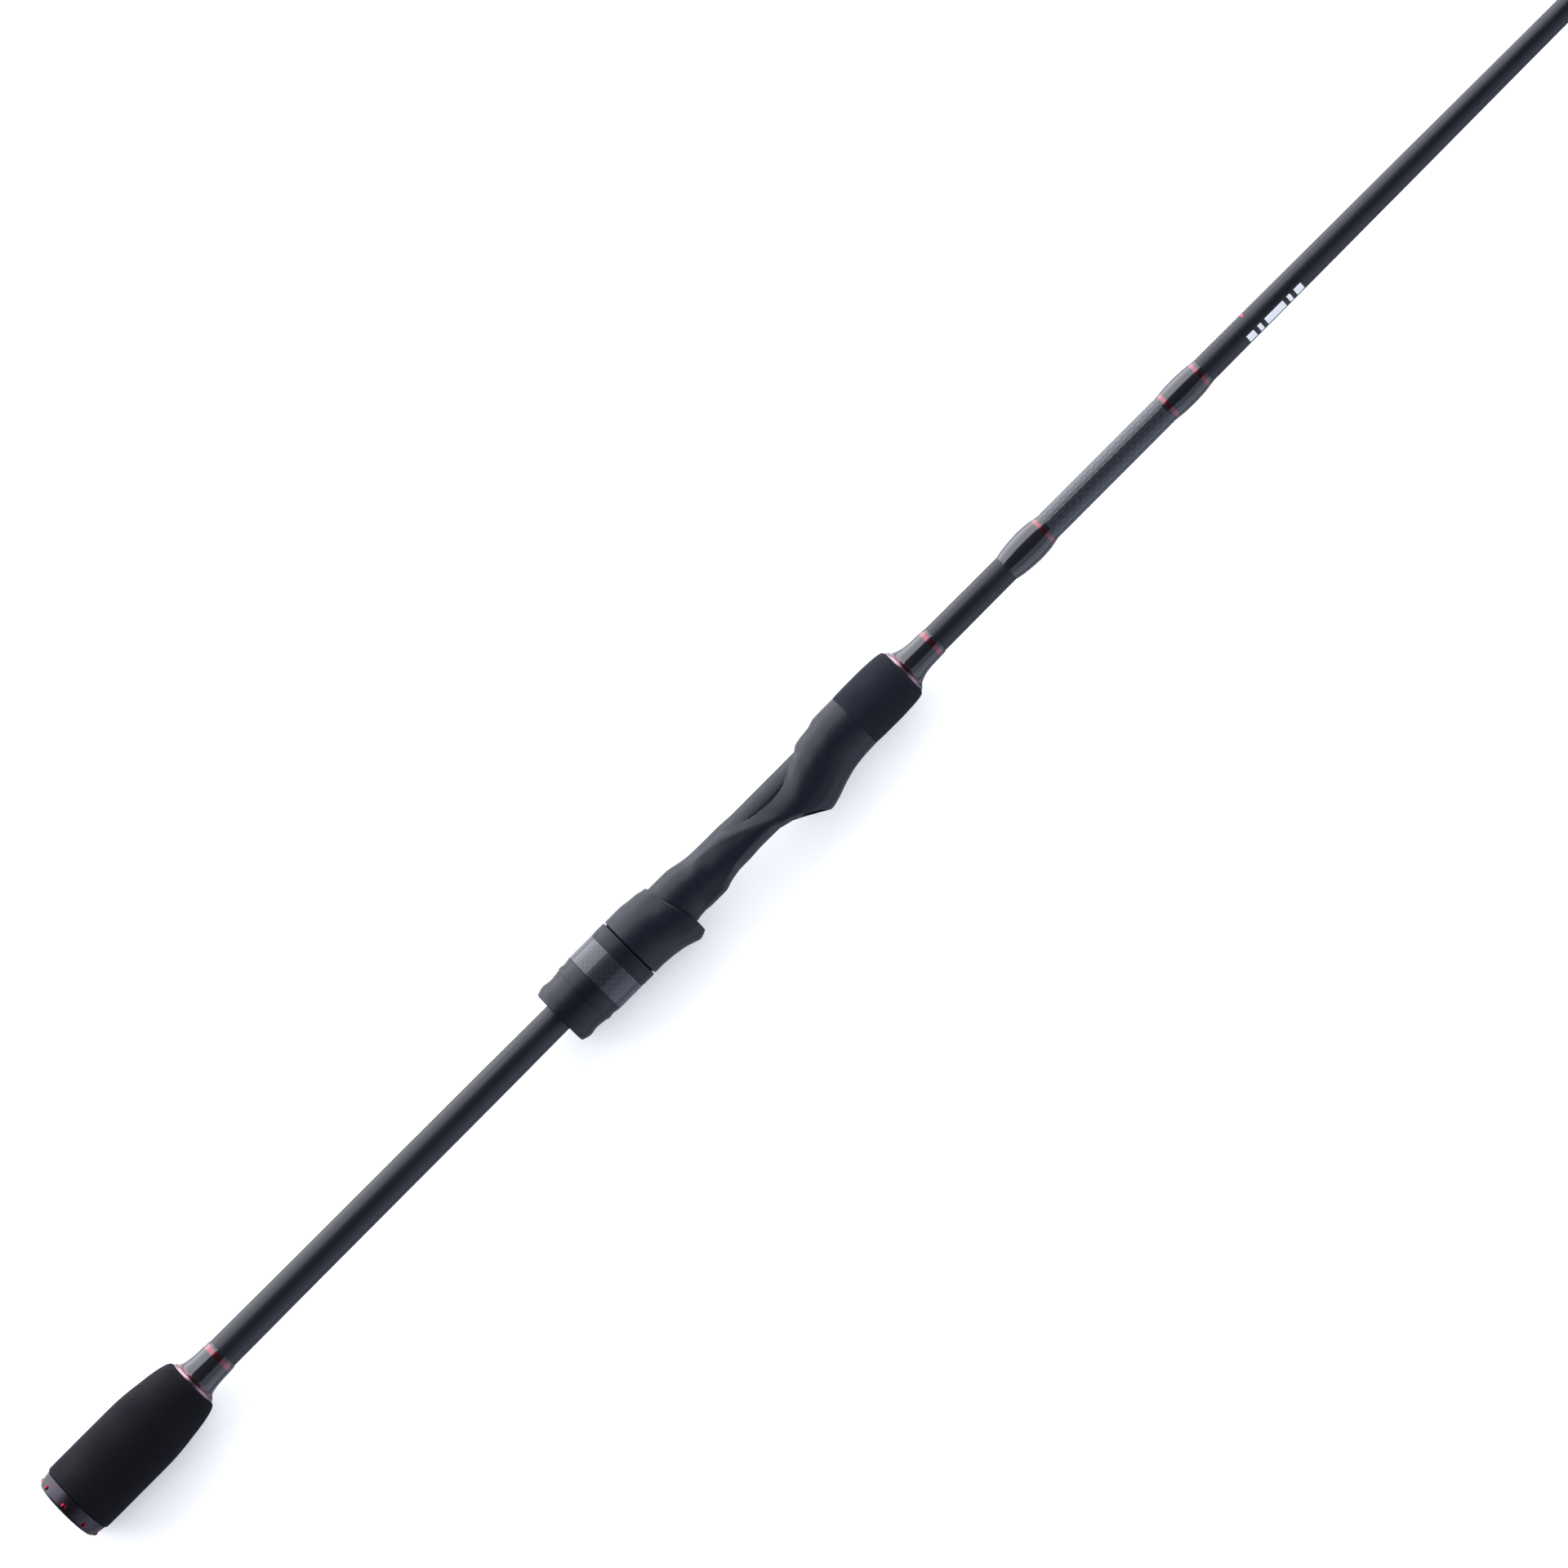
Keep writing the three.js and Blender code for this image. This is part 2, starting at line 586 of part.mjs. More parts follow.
piece(
  front,
  "lower_blank_wrap",
  cut(
    sleeve(
      [
        [455.2, 5.12],
        [458, 5.64],
        [462, 6.08],
        [466, 6.25],
        [470, 6.04],
        [472.6, 5.64],
        [474.9, 5.15],
      ],
      5.07,
    ),
    sleeve([[472.05, 8], [473.65, 8]], 5.24),
  ),
  MAT.thread,
);
piece(front, "lower_blank_wrap_trim", sleeve([[472.12, 5.71], [473.58, 5.44]], 5.3), MAT.redThread);
piece(front, "carbon_sleeve", sleeve([[474.98, 5.17], [503, 5.15], [531.3, 5.1]], 5.04), MAT.weave);
piece(
  front,
  "upper_blank_wrap",
  cut(
    sleeve(
      [
        [531.38, 5.08],
        [533.8, 5.4],
        [537, 5.64],
        [540.5, 5.7],
        [544.5, 5.55],
        [549.8, 4.94],
      ],
      4.91,
    ),
    sleeve([[532.15, 8], [533.85, 8]], 5.0),
    sleeve([[547.05, 8], [548.75, 8]], 4.94),
  ),
  MAT.thread,
);
piece(front, "upper_wrap_trim_lower", sleeve([[532.22, 5.2], [533.78, 5.39]], 5.08), MAT.redThread);
piece(front, "upper_wrap_trim_upper", sleeve([[547.12, 5.25], [548.68, 5.07]], 5.0), MAT.redThread);

// ---------------------------------------------------------------- line guides
// Each stands on the reel side. x is the ring's station, size is the ring's outside diameter, h the ring centre's height over the blank.
const GUIDES = [
  { x: 914, size: 25, h: 27, ring: 1.9, w: 2.8, feet: 2, lean: 0.14, foot: 15, fw: 3.2, ft: 0.8, strutW: 1.9, strutT: 1.1, seg: 20 },
  { x: 1219, size: 16, h: 18, ring: 1.6, w: 2.3, feet: 2, lean: 0.14, foot: 13, fw: 2.6, ft: 0.7, strutW: 1.6, strutT: 0.95, seg: 16 },
  { x: 1454, size: 10, h: 11.8, ring: 1.25, w: 1.9, feet: 1, lean: 0.18, foot: 12, fw: 2.2, ft: 0.6, strutW: 1.3, strutT: 0.9, seg: 14 },
  { x: 1644, size: 7, h: 8, ring: 1.05, w: 1.6, feet: 1, lean: 0.2, foot: 10, fw: 2.0, ft: 0.5, strutW: 1.15, strutT: 0.8, seg: 12 },
  { x: 1799, size: 6, h: 6.8, ring: 0.95, w: 1.5, feet: 1, lean: 0.2, foot: 9, fw: 1.8, ft: 0.45, strutW: 1.1, strutT: 0.75, seg: 12 },
  { x: 1929, size: 6, h: 6.4, ring: 0.95, w: 1.5, feet: 1, lean: 0.2, foot: 9, fw: 1.8, ft: 0.45, strutW: 1.1, strutT: 0.75, seg: 12 },
  { x: 2039, size: 6, h: 6.2, ring: 0.95, w: 1.5, feet: 1, lean: 0.2, foot: 9, fw: 1.8, ft: 0.45, strutW: 1.1, strutT: 0.75, seg: 12 },
];
GUIDES.forEach((G, k) => {
  const n = k + 1,
    R = G.size / 2;
  const g = new THREE.Group();
  g.position.set(G.x, 0, 0);
  rod.add(g);
  const rb = blankR(G.x),
    cy = -(rb + G.h);
  // points on the leaning ring: angle a from straight down to the blank, r from the ring's centre
  const onRing = (a, r, dx = 0) => {
    const y = r * Math.cos(a),
      z = r * Math.sin(a);
    return [-y * Math.sin(G.lean) + dx, cy + y * Math.cos(G.lean), z];
  };
  const place = (geo) => geo.rotateZ(G.lean).translate(0, cy, 0);
  const t = G.ring,
    w = G.w / 2;
  const insert = lathe(
    [
      [-w, R],
      [-w, R - 0.55 * t],
      [-0.35 * w, R - t],
      [0.35 * w, R - t],
      [w, R - 0.55 * t],
      [w, R],
      [-w, R],
    ],
    G.seg,
  );
  piece(g, `guide_${n}_ring`, place(insert), MAT.ceramic);
  const hw = w * 0.62;
  const holder = place(sleeve([[-hw, R + 0.7], [hw, R + 0.7]], R + 0.08, G.seg));
  const parts = [holder];
  const rimR = R + 0.42;
  const footY = (x, lift) => -(blankR(G.x + x) + GAP + lift);
  const keepOut = [place(lathe([[-9, 0], [-9, R + 0.08], [9, R + 0.08], [9, 0]], G.seg))];
  const feet = [];
  const makeFoot = (x0, dir) => {
    // a flat foot on the blank from x0, tapering to a thin end
    const x1 = x0 + dir * G.foot;
    const rmax = Math.max(blankR(G.x + x0), blankR(G.x + x1));
    const y0 = -(rmax + GAP);
    const mid = x0 + dir * G.foot * 0.35;
    const outline = [
      [x0, y0],
      [x1, y0],
      [x1, y0 - G.ft * 0.3],
      [mid, y0 - G.ft],
      [x0, y0 - G.ft],
    ];
    const inOrder = dir > 0 ? [...outline].reverse() : outline;
    feet.push({ x0, x1, y0, dir, mid });
    return plate(inOrder, -G.fw / 2, G.fw / 2);
  };
  const legs = (a, x0, dir, spread) => {
    for (const s of [1, -1]) {
      const top = onRing(s * a, rimR, 0);
      const low = [x0 + dir * 0.8, footY(x0, G.ft * 0.5), s * spread];
      const bend = [top[0] * 0.55 + low[0] * 0.45, top[1] * 0.45 + low[1] * 0.55, top[2] * 0.62 + low[2] * 0.38];
      parts.push(strut([top, bend, low], G.strutW, G.strutT));
    }
  };
  if (G.feet === 2) {
    const a = R * 0.86,
      b = R * 1.0;
    parts.push(makeFoot(a, 1), makeFoot(-b, -1));
    legs(0.62, a, 1, G.fw * 0.22);
    legs(1.05, -b, -1, G.fw * 0.22);
  } else {
    const b = R * 0.75 + 1.5;
    parts.push(makeFoot(-b, -1));
    legs(0.75, -b, -1, G.fw * 0.2);
  }
  // clear of the ring insert and of the blank
  const blankCut = lathe([[-60, 0], [-60, blankR(G.x - 60) + GAP], [60, blankR(G.x + 60) + GAP], [60, 0]], THIN);
  piece(g, `guide_${n}_frame`, cut(join(...parts), ...keepOut, blankCut), MAT.steel);
  feet.forEach((f, i) => {
    const end = f.x1 + f.dir * 3.2,
      start = f.x0 + f.dir * 1.6;
    const [xa, xb] = start < end ? [start, end] : [end, start];
    const r0 = blankR(G.x + Math.min(xa, xb)) + GAP;
    const skin = 0.42;
    const tube = lathe(
      [
        [xa, 0],
        [xa, r0 + skin * 0.7],
        [xb, r0 + skin * 0.7],
        [xb, 0],
      ],
      THIN,
    );
    const top = f.y0 - G.ft - 0.3;
    const ridge = [
      [start + f.dir * 0.1, -1],
      [start + f.dir * 0.6, top],
      [f.mid, top],
      [f.x1 + f.dir * 1.6, -(r0 + 0.25)],
      [f.x1 + f.dir * 1.6, -1],
    ];
    const hump = plate(f.dir > 0 ? [...ridge].reverse() : ridge, -G.fw / 2 - 0.45, G.fw / 2 + 0.45);
    const slack = 0.08;
    const foot = plate(
      (() => {
        const o = [
          [f.x0 - f.dir * 3, f.y0 + 1.2],
          [f.x1 + f.dir * slack, f.y0 + 1.2],
          [f.x1 + f.dir * slack, f.y0 - G.ft * 0.3 - slack],
          [f.mid, f.y0 - G.ft - slack],
          [f.x0 - f.dir * 3, f.y0 - G.ft - slack],
        ];
        return f.dir > 0 ? [...o].reverse() : o;
      })(),
      -G.fw / 2 - slack,
      G.fw / 2 + slack,
    );
    const cutBlank = lathe([[xa - 5, 0], [xa - 5, blankR(G.x + xa - 5) + GAP], [xb + 5, blankR(G.x + xb + 5) + GAP], [xb + 5, 0]], THIN);
    const legCuts = parts.slice(1).filter((p) => p.parameters && p.parameters.options && p.parameters.options.extrudePath);
    const wrapName = G.feet === 2 ? (f.dir > 0 ? `guide_${n}_wrap_front` : `guide_${n}_wrap_rear`) : `guide_${n}_wrap`;
    piece(g, wrapName, cut(join(tube, hump), foot, cutBlank, ...legCuts), MAT.thread);
  });
});

// ---------------------------------------------------------------- tip-top
{
  const g = new THREE.Group();
  const X0 = 2116,
    ringX = 2130.2,
    R = 3,
    cy = -4.3;
  g.position.set(0, 0, 0);
  rod.add(g);
  const tube = lathe([[X0 + 1, 0], [X0 + 1, 1.35], [2128.9, 1.2], [2128.9, 0]], 12);
  const holder = sleeve([[-0.55, R + 0.55], [0.55, R + 0.55]], R + 0.08, 12).rotateZ(0.25).translate(ringX, cy, 0);
  const leg = (s) =>
    strut(
      [
        [2122, -1.1, s * 0.55],
        [2126.5, -2.6, s * 2.0],
        [ringX - 0.15, cy + 0.6, s * (R + 0.3)],
      ],
      1.0,
      0.75,
    );
  const top = strut([[2126.8, 0, 0], [2129.2, -0.5, 0], [ringX + 0.0, cy + R + 0.35, 0]], 1.3, 1.0);
  const clear = lathe([[-4, 0], [-4, R + 0.08], [4, R + 0.08], [4, 0]], 12).rotateZ(0.25).translate(ringX, cy, 0);
  const bore = lathe([[2100, 0], [2100, 1.0], [2127.3, 0.96], [2127.3, 0]], 12);
  piece(g, "tip_top_frame", cut(join(tube, holder, leg(1), leg(-1), top), clear, bore), MAT.steel);
  const t = 0.95,
    w = 0.75;
  piece(
    g,
    "tip_top_ring",
    lathe(
      [
        [-w, R],
        [-w, R - 0.55 * t],
        [-0.35 * w, R - t],
        [0.35 * w, R - t],
        [w, R - 0.55 * t],
        [w, R],
        [-w, R],
      ],
      12,
    )
      .rotateZ(0.25)
      .translate(ringX, cy, 0),
    MAT.ceramic,
  );
  piece(g, "tip_wrap", sleeve([[2108, 1.1], [2108.8, 1.3], [2115.6, 1.4], [2116.7, 1.15]], 0.98, 16), MAT.thread);
}

for (const child of rod.children) child.position.x -= DATUM;

export default rod;
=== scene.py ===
import math

import bpy
import numpy as np
import openvdb as vdb
from mathutils import Matrix, Vector


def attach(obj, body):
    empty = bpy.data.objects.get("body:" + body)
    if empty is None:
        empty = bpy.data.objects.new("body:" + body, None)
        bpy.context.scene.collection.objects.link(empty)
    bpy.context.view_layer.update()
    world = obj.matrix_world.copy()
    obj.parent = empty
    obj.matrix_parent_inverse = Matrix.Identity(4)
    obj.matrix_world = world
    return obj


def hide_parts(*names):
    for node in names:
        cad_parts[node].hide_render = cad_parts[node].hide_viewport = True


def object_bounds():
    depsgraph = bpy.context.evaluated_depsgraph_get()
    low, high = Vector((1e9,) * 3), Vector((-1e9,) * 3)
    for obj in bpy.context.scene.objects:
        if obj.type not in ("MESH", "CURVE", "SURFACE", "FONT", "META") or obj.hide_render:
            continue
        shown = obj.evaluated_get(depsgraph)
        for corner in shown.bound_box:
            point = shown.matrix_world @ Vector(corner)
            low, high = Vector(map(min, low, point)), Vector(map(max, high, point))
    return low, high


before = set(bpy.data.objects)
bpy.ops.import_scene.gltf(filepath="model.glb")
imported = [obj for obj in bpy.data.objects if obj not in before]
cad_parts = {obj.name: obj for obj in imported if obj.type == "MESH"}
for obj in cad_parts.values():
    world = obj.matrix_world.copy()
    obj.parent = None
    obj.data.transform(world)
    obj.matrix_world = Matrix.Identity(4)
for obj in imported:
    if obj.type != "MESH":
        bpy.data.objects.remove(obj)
scene = bpy.context.scene
CAD_BOX = [[float(c) for c in corner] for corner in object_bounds()]
MM = 0.001
DATUM = 1.5  # stations are measured from a plane this far behind the butt cap, in mm
SEAT_Y = -0.5  # the axis of the barrel, hood and nut, in mm
rng = np.random.default_rng(7)

# ------------------------------------------------------------------ camera, lights, floor
VIEW = math.radians(45.112)  # the rod runs from the lower left to the upper right
RIGHT = Vector((math.cos(VIEW), -math.sin(VIEW), 0))
UP0 = Vector((math.sin(VIEW), math.cos(VIEW), 0))
TILT = math.radians(4.0)  # the camera stands a little to the reel side
LENS = 260.0
DIST = LENS / 36.0 * 0.53333
TARGET = Vector((0.3497 - DATUM * MM, 0.0017, 0.0))
side = Vector((0, -1, 0))
to_cam = (Vector((0, 0, 1)) * math.cos(TILT) + side * math.sin(TILT)).normalized()
right = (RIGHT - to_cam * RIGHT.dot(to_cam)).normalized()
up = to_cam.cross(right)
cam_data = bpy.data.cameras.new("camera")
cam = bpy.data.objects.new("camera", cam_data)
scene.collection.objects.link(cam)
cam.matrix_world = Matrix.Translation(TARGET + to_cam * DIST) @ Matrix((right, up, to_cam)).transposed().to_4x4()
cam_data.type = "PERSP"
cam_data.sensor_width = 36
cam_data.lens = LENS
cam_data.clip_start = 0.01
cam_data.clip_end = 50
scene.camera = cam
scene.view_settings.view_transform = "Standard"
scene.view_settings.look = "None"


def softbox(name, polar0, polar1, sign, dist, radiance, length=5.0, x=0.9):
    """A long light beside the rod, from one polar angle to another in the plane across it."""
    a0, a1 = math.radians(polar0), math.radians(polar1)
    p0 = Vector((x, sign * dist * math.sin(a0), dist * math.cos(a0)))
    p1 = Vector((x, sign * dist * math.sin(a1), dist * math.cos(a1)))
    mid, height = (p0 + p1) / 2, (p1 - p0).length
    data = bpy.data.lights.new(name, "AREA")
    data.shape = "RECTANGLE"
    data.size, data.size_y = length, height
    data.energy = radiance * math.pi * length * height
    ob = bpy.data.objects.new(name, data)
    scene.collection.objects.link(ob)
    xa = Vector((1, 0, 0))
    ya = (p0 - p1).normalized()
    za = xa.cross(ya)
    if za.dot(mid - Vector((x, 0, 0))) < 0:
        xa, za = -xa, -za
    ob.matrix_world = Matrix.Translation(mid) @ Matrix((xa, ya, za)).transposed().to_4x4()
    ob.visible_camera = False
    return ob


TINT = (0.93, 0.945, 1.03)
COOL = (0.80, 0.88, 1.10)
for name, a0, a1, sign, radiance, tint in (
    ("softbox_back", 36.5, 84, 1, 4.9, TINT),
    ("softbox_back_mid", 84, 118, 1, 5.7, TINT),
    ("softbox_back_low", 118, 168, 1, 1.6, TINT),
    ("softbox_reel_side", 31.5, 68, -1, 1.0, COOL),
    ("softbox_reel_side_low", 68, 112, -1, 1.75, COOL),
    ("softbox_reel_side_under", 112, 160, -1, 0.5, COOL),
):
    softbox(name, a0, a1, sign, 1.5, radiance).data.color = tint
over = softbox("overhead", -24, 37, 1, 2.4, 1.3)
over.visible_glossy = False

world = bpy.data.worlds.new("studio")
scene.world = world
world.use_nodes = True
world.node_tree.nodes["Background"].inputs[0].default_value = (0.9, 0.94, 1.0, 1)
world.node_tree.nodes["Background"].inputs[1].default_value = 0.10

FLOOR_Z = CAD_BOX[0][2] - 0.0003


# ------------------------------------------------------------------ materials
def nodes_of(name):
    m = bpy.data.materials.new(name)
    m.use_nodes = True
    nt = m.node_tree
    nt.nodes.clear()
    out = nt.nodes.new("ShaderNodeOutputMaterial")
    b = nt.nodes.new("ShaderNodeBsdfPrincipled")
    nt.links.new(b.outputs[0], out.inputs[0])
    return m, nt, b


def node(nt, kind, inputs=(), **props):
    n = nt.nodes.new(kind)
    for k, v in props.items():
        setattr(n, k, v)
    for k, v in dict(inputs).items():
        if isinstance(v, bpy.types.NodeSocket):
            nt.links.new(v, n.inputs[k])
        else:
            n.inputs[k].default_value = v
    return n


def math_(nt, op, a, b=0.0, c=0.0, clamp=False):
    n = node(nt, "ShaderNodeMath", {0: a, 1: b, 2: c}, operation=op)
    n.use_clamp = clamp
    return n.outputs[0]


def coords(nt):
    """Object coordinates in millimetres from the datum plane."""
    tc = node(nt, "ShaderNodeTexCoord")
    v = node(nt, "ShaderNodeVectorMath", {0: tc.outputs["Object"], 3: 1000.0}, operation="SCALE")
    w = node(nt, "ShaderNodeVectorMath", {0: v.outputs[0], 1: (DATUM, 0.0, 0.0)}, operation="ADD")
    return w.outputs[0]


def around(nt, cy=0.0, radius=1.0):
    """(x along the rod, arc length round it, radius) in millimetres."""
    s = node(nt, "ShaderNodeSeparateXYZ", {0: coords(nt)})
    y = math_(nt, "SUBTRACT", s.outputs[1], cy)
    a = math_(nt, "ARCTAN2", s.outputs[2], y)
    arc = math_(nt, "MULTIPLY", a, radius)
    return s.outputs[0], arc, a


def noise(nt, scale, detail=3.0, rough=0.55, vec=None):
    return node(nt, "ShaderNodeTexNoise", {"Vector": vec or coords(nt), "Scale": scale, "Detail": detail, "Roughness": rough})


def ramp(nt, fac, stops):
    n = node(nt, "ShaderNodeValToRGB", {0: fac})
    e = n.color_ramp.elements
    while len(e) < len(stops):
        e.new(0.5)
    for el, (p, c) in zip(e, stops):
        el.position = p
        el.color = (*c, 1) if len(c) == 3 else c
    return n.outputs[0]


def fit(nt, fac, a0, a1, b0, b1):
    return node(nt, "ShaderNodeMapRange", {0: fac, 1: a0, 2: a1, 3: b0, 4: b1}).outputs[0]


def bump(nt, height, dist_mm, strength=1.0, normal=None):
    n = node(nt, "ShaderNodeBump", {"Height": height, "Distance": dist_mm * MM, "Strength": strength})
    if normal is not None:
        nt.links.new(normal, n.inputs["Normal"])
    return n.outputs[0]


def mixc(nt, fac, a, b):
    n = node(nt, "ShaderNodeMix", data_type="RGBA")
    for i, v in ((0, fac), (6, a), (7, b)):
        if isinstance(v, bpy.types.NodeSocket):
            nt.links.new(v, n.inputs[i])
        else:
            n.inputs[i].default_value = v if i == 0 else (*v, 1)
    return n.outputs[2]


def link(nt, sock, target):
    nt.links.new(sock, target)


def resin(name, lo, hi, rough, grain=0.012, spec=0.24):
    """Graphite-filled moulded nylon with a satin soft-touch coat."""
    m, nt, b = nodes_of(name)
    big = noise(nt, 0.06, 2.0)
    fine = noise(nt, 5.5, 2.0, 0.6)
    link(nt, mixc(nt, fit(nt, big.outputs[0], 0.3, 0.7, 0, 1), lo, hi), b.inputs["Base Color"])
    link(nt, fit(nt, noise(nt, 0.35, 3.0).outputs[0], 0.3, 0.7, rough - 0.04, rough + 0.05), b.inputs["Roughness"])
    link(nt, bump(nt, fine.outputs[0], grain), b.inputs["Normal"])
    b.inputs["Specular IOR Level"].default_value = spec
    return m


def foam(name, lo, hi, spec):
    """Black EVA foam, ground to size: closed cells cut open, a few pale specks of dust."""
    m, nt, b = nodes_of(name)
    c = coords(nt)
    cells = node(nt, "ShaderNodeTexVoronoi", {"Vector": c, "Scale": 2.1, "Randomness": 1.0})
    mid = noise(nt, 0.9, 4.0, 0.65)
    fine = noise(nt, 7.0, 2.0, 0.7)
    big = noise(nt, 0.08, 2.0)
    # the open cells are hollows in the bump below, and their centres are also painted darker in the colour: painted
    # shade in the hollows, mixed with random tone from mid
    pore = fit(nt, cells.outputs["Distance"], 0.05, 0.42, 0.0, 1.0)
    shade = math_(nt, "MULTIPLY_ADD", mid.outputs[0], 0.6, math_(nt, "MULTIPLY", pore, 0.4))
    base = ramp(nt, shade, [(0.25, lo), (0.75, hi)])
    specks = node(nt, "ShaderNodeTexVoronoi", {"Vector": c, "Scale": 0.22, "Randomness": 1.0})
    wob = math_(nt, "MULTIPLY_ADD", fine.outputs[0], 0.05, specks.outputs["Distance"])
    spot = math_(nt, "LESS_THAN", wob, 0.062)
    pick = math_(nt, "GREATER_THAN", node(nt, "ShaderNodeSeparateXYZ", {0: specks.outputs["Color"]}).outputs[0], 0.86)
    link(nt, mixc(nt, math_(nt, "MULTIPLY", spot, pick), base, (0.16, 0.15, 0.15)), b.inputs["Base Color"])
    link(nt, fit(nt, big.outputs[0], 0.3, 0.7, 0.72, 0.84), b.inputs["Roughness"])
    h = math_(nt, "MULTIPLY_ADD", pore, 0.5, math_(nt, "MULTIPLY", fine.outputs[0], 0.5))
    n1 = bump(nt, h, 0.075)
    link(nt, bump(nt, mid.outputs[0], 0.10, 0.6, n1), b.inputs["Normal"])
    b.inputs["Specular IOR Level"].default_value = spec
    return m


def blank_material(name):
    """Unsanded carbon blank: the spiral left by the curing tape, under a satin coat, with a small plain decal."""
    m, nt, b = nodes_of(name)
    x, arc, ang = around(nt)
    turns = math_(nt, "MULTIPLY_ADD", ang, 1 / (2 * math.pi), math_(nt, "MULTIPLY", x, 1 / 2.6))
    saw = math_(nt, "PINGPONG", turns, 0.5)
    lip = math_(nt, "POWER", math_(nt, "MULTIPLY", saw, 2.0), 0.35)
    grain = noise(nt, 1.4, 4.0, 0.6)
    big = noise(nt, 0.05, 2.0)
    base = mixc(nt, fit(nt, grain.outputs[0], 0.3, 0.7, 0, 1), (0.0036, 0.0042, 0.0068), (0.0060, 0.0068, 0.0102))
    # a plain decal on the reel side: three bars and a rule
    t = math_(nt, "ABSOLUTE", math_(nt, "SUBTRACT", math_(nt, "ABSOLUTE", ang), math.pi * 0.78))
    band = math_(nt, "LESS_THAN", t, 0.36)
    def between(a, c):
        return math_(nt, "MULTIPLY", math_(nt, "GREATER_THAN", x, a), math_(nt, "LESS_THAN", x, c))
    marks = None
    for a, c in ((568.2, 571.6), (573.4, 575.0), (576.8, 585.6), (587.4, 589.0), (590.8, 594.2)):
        q = between(a, c)
        marks = q if marks is None else math_(nt, "ADD", marks, q)
    white = math_(nt, "MULTIPLY", marks, band, clamp=True)
    red = math_(nt, "MULTIPLY", between(571.9, 572.7), math_(nt, "LESS_THAN", math_(nt, "ABSOLUTE", ang), 0.75))
    base = mixc(nt, white, base, (0.62, 0.63, 0.64))
    base = mixc(nt, red, base, (0.45, 0.02, 0.05))
    link(nt, base, b.inputs["Base Color"])
    link(nt, fit(nt, big.outputs[0], 0.3, 0.7, 0.33, 0.41), b.inputs["Roughness"])
    n1 = bump(nt, lip, 0.012)
    link(nt, bump(nt, grain.outputs[0], 0.02, 0.7, n1), b.inputs["Normal"])
    b.inputs["Specular IOR Level"].default_value = 0.26
    return m


def epoxy_thread(name, color, hi, metal=0.0, pitch=0.16, base_rough=0.5):
    """Turns of thread under clear, glossy rod-building epoxy."""
    m, nt, b = nodes_of(name)
    x, arc, ang = around(nt)
    t = math_(nt, "MULTIPLY_ADD", ang, 1 / (2 * math.pi), math_(nt, "MULTIPLY", x, 1 / pitch))
    wave = math_(nt, "PINGPONG", t, 0.5)
    ply = noise(nt, 1.0, 3.0, 0.7, node(nt, "ShaderNodeCombineXYZ", {0: math_(nt, "MULTIPLY", x, 6.0), 1: math_(nt, "MULTIPLY", arc, 9.0), 2: 0.0}).outputs[0])
    # the colour runs from color to hi as each turn of thread rises on the wave, so the crown of every turn is lighter:
    # a painted sheen, mixed with random tone from ply
    f = math_(nt, "MULTIPLY_ADD", wave, 1.2, math_(nt, "MULTIPLY", ply.outputs[0], 0.5))
    link(nt, mixc(nt, fit(nt, f, 0.2, 0.85, 0, 1), color, hi), b.inputs["Base Color"])
    b.inputs["Metallic"].default_value = metal
    b.inputs["Roughness"].default_value = base_rough
    link(nt, bump(nt, wave, 0.03, 0.8), b.inputs["Normal"])
    b.inputs["Specular IOR Level"].default_value = 0.5 if metal else 0.06
    b.inputs["Coat Weight"].default_value = 1.0
    b.inputs["Coat Roughness"].default_value = 0.02
    b.inputs["Coat IOR"].default_value = 1.5
    wob = noise(nt, 0.22, 1.0)
    link(nt, bump(nt, wob.outputs[0], 0.05, 0.6), b.inputs["Coat Normal"])
    return m


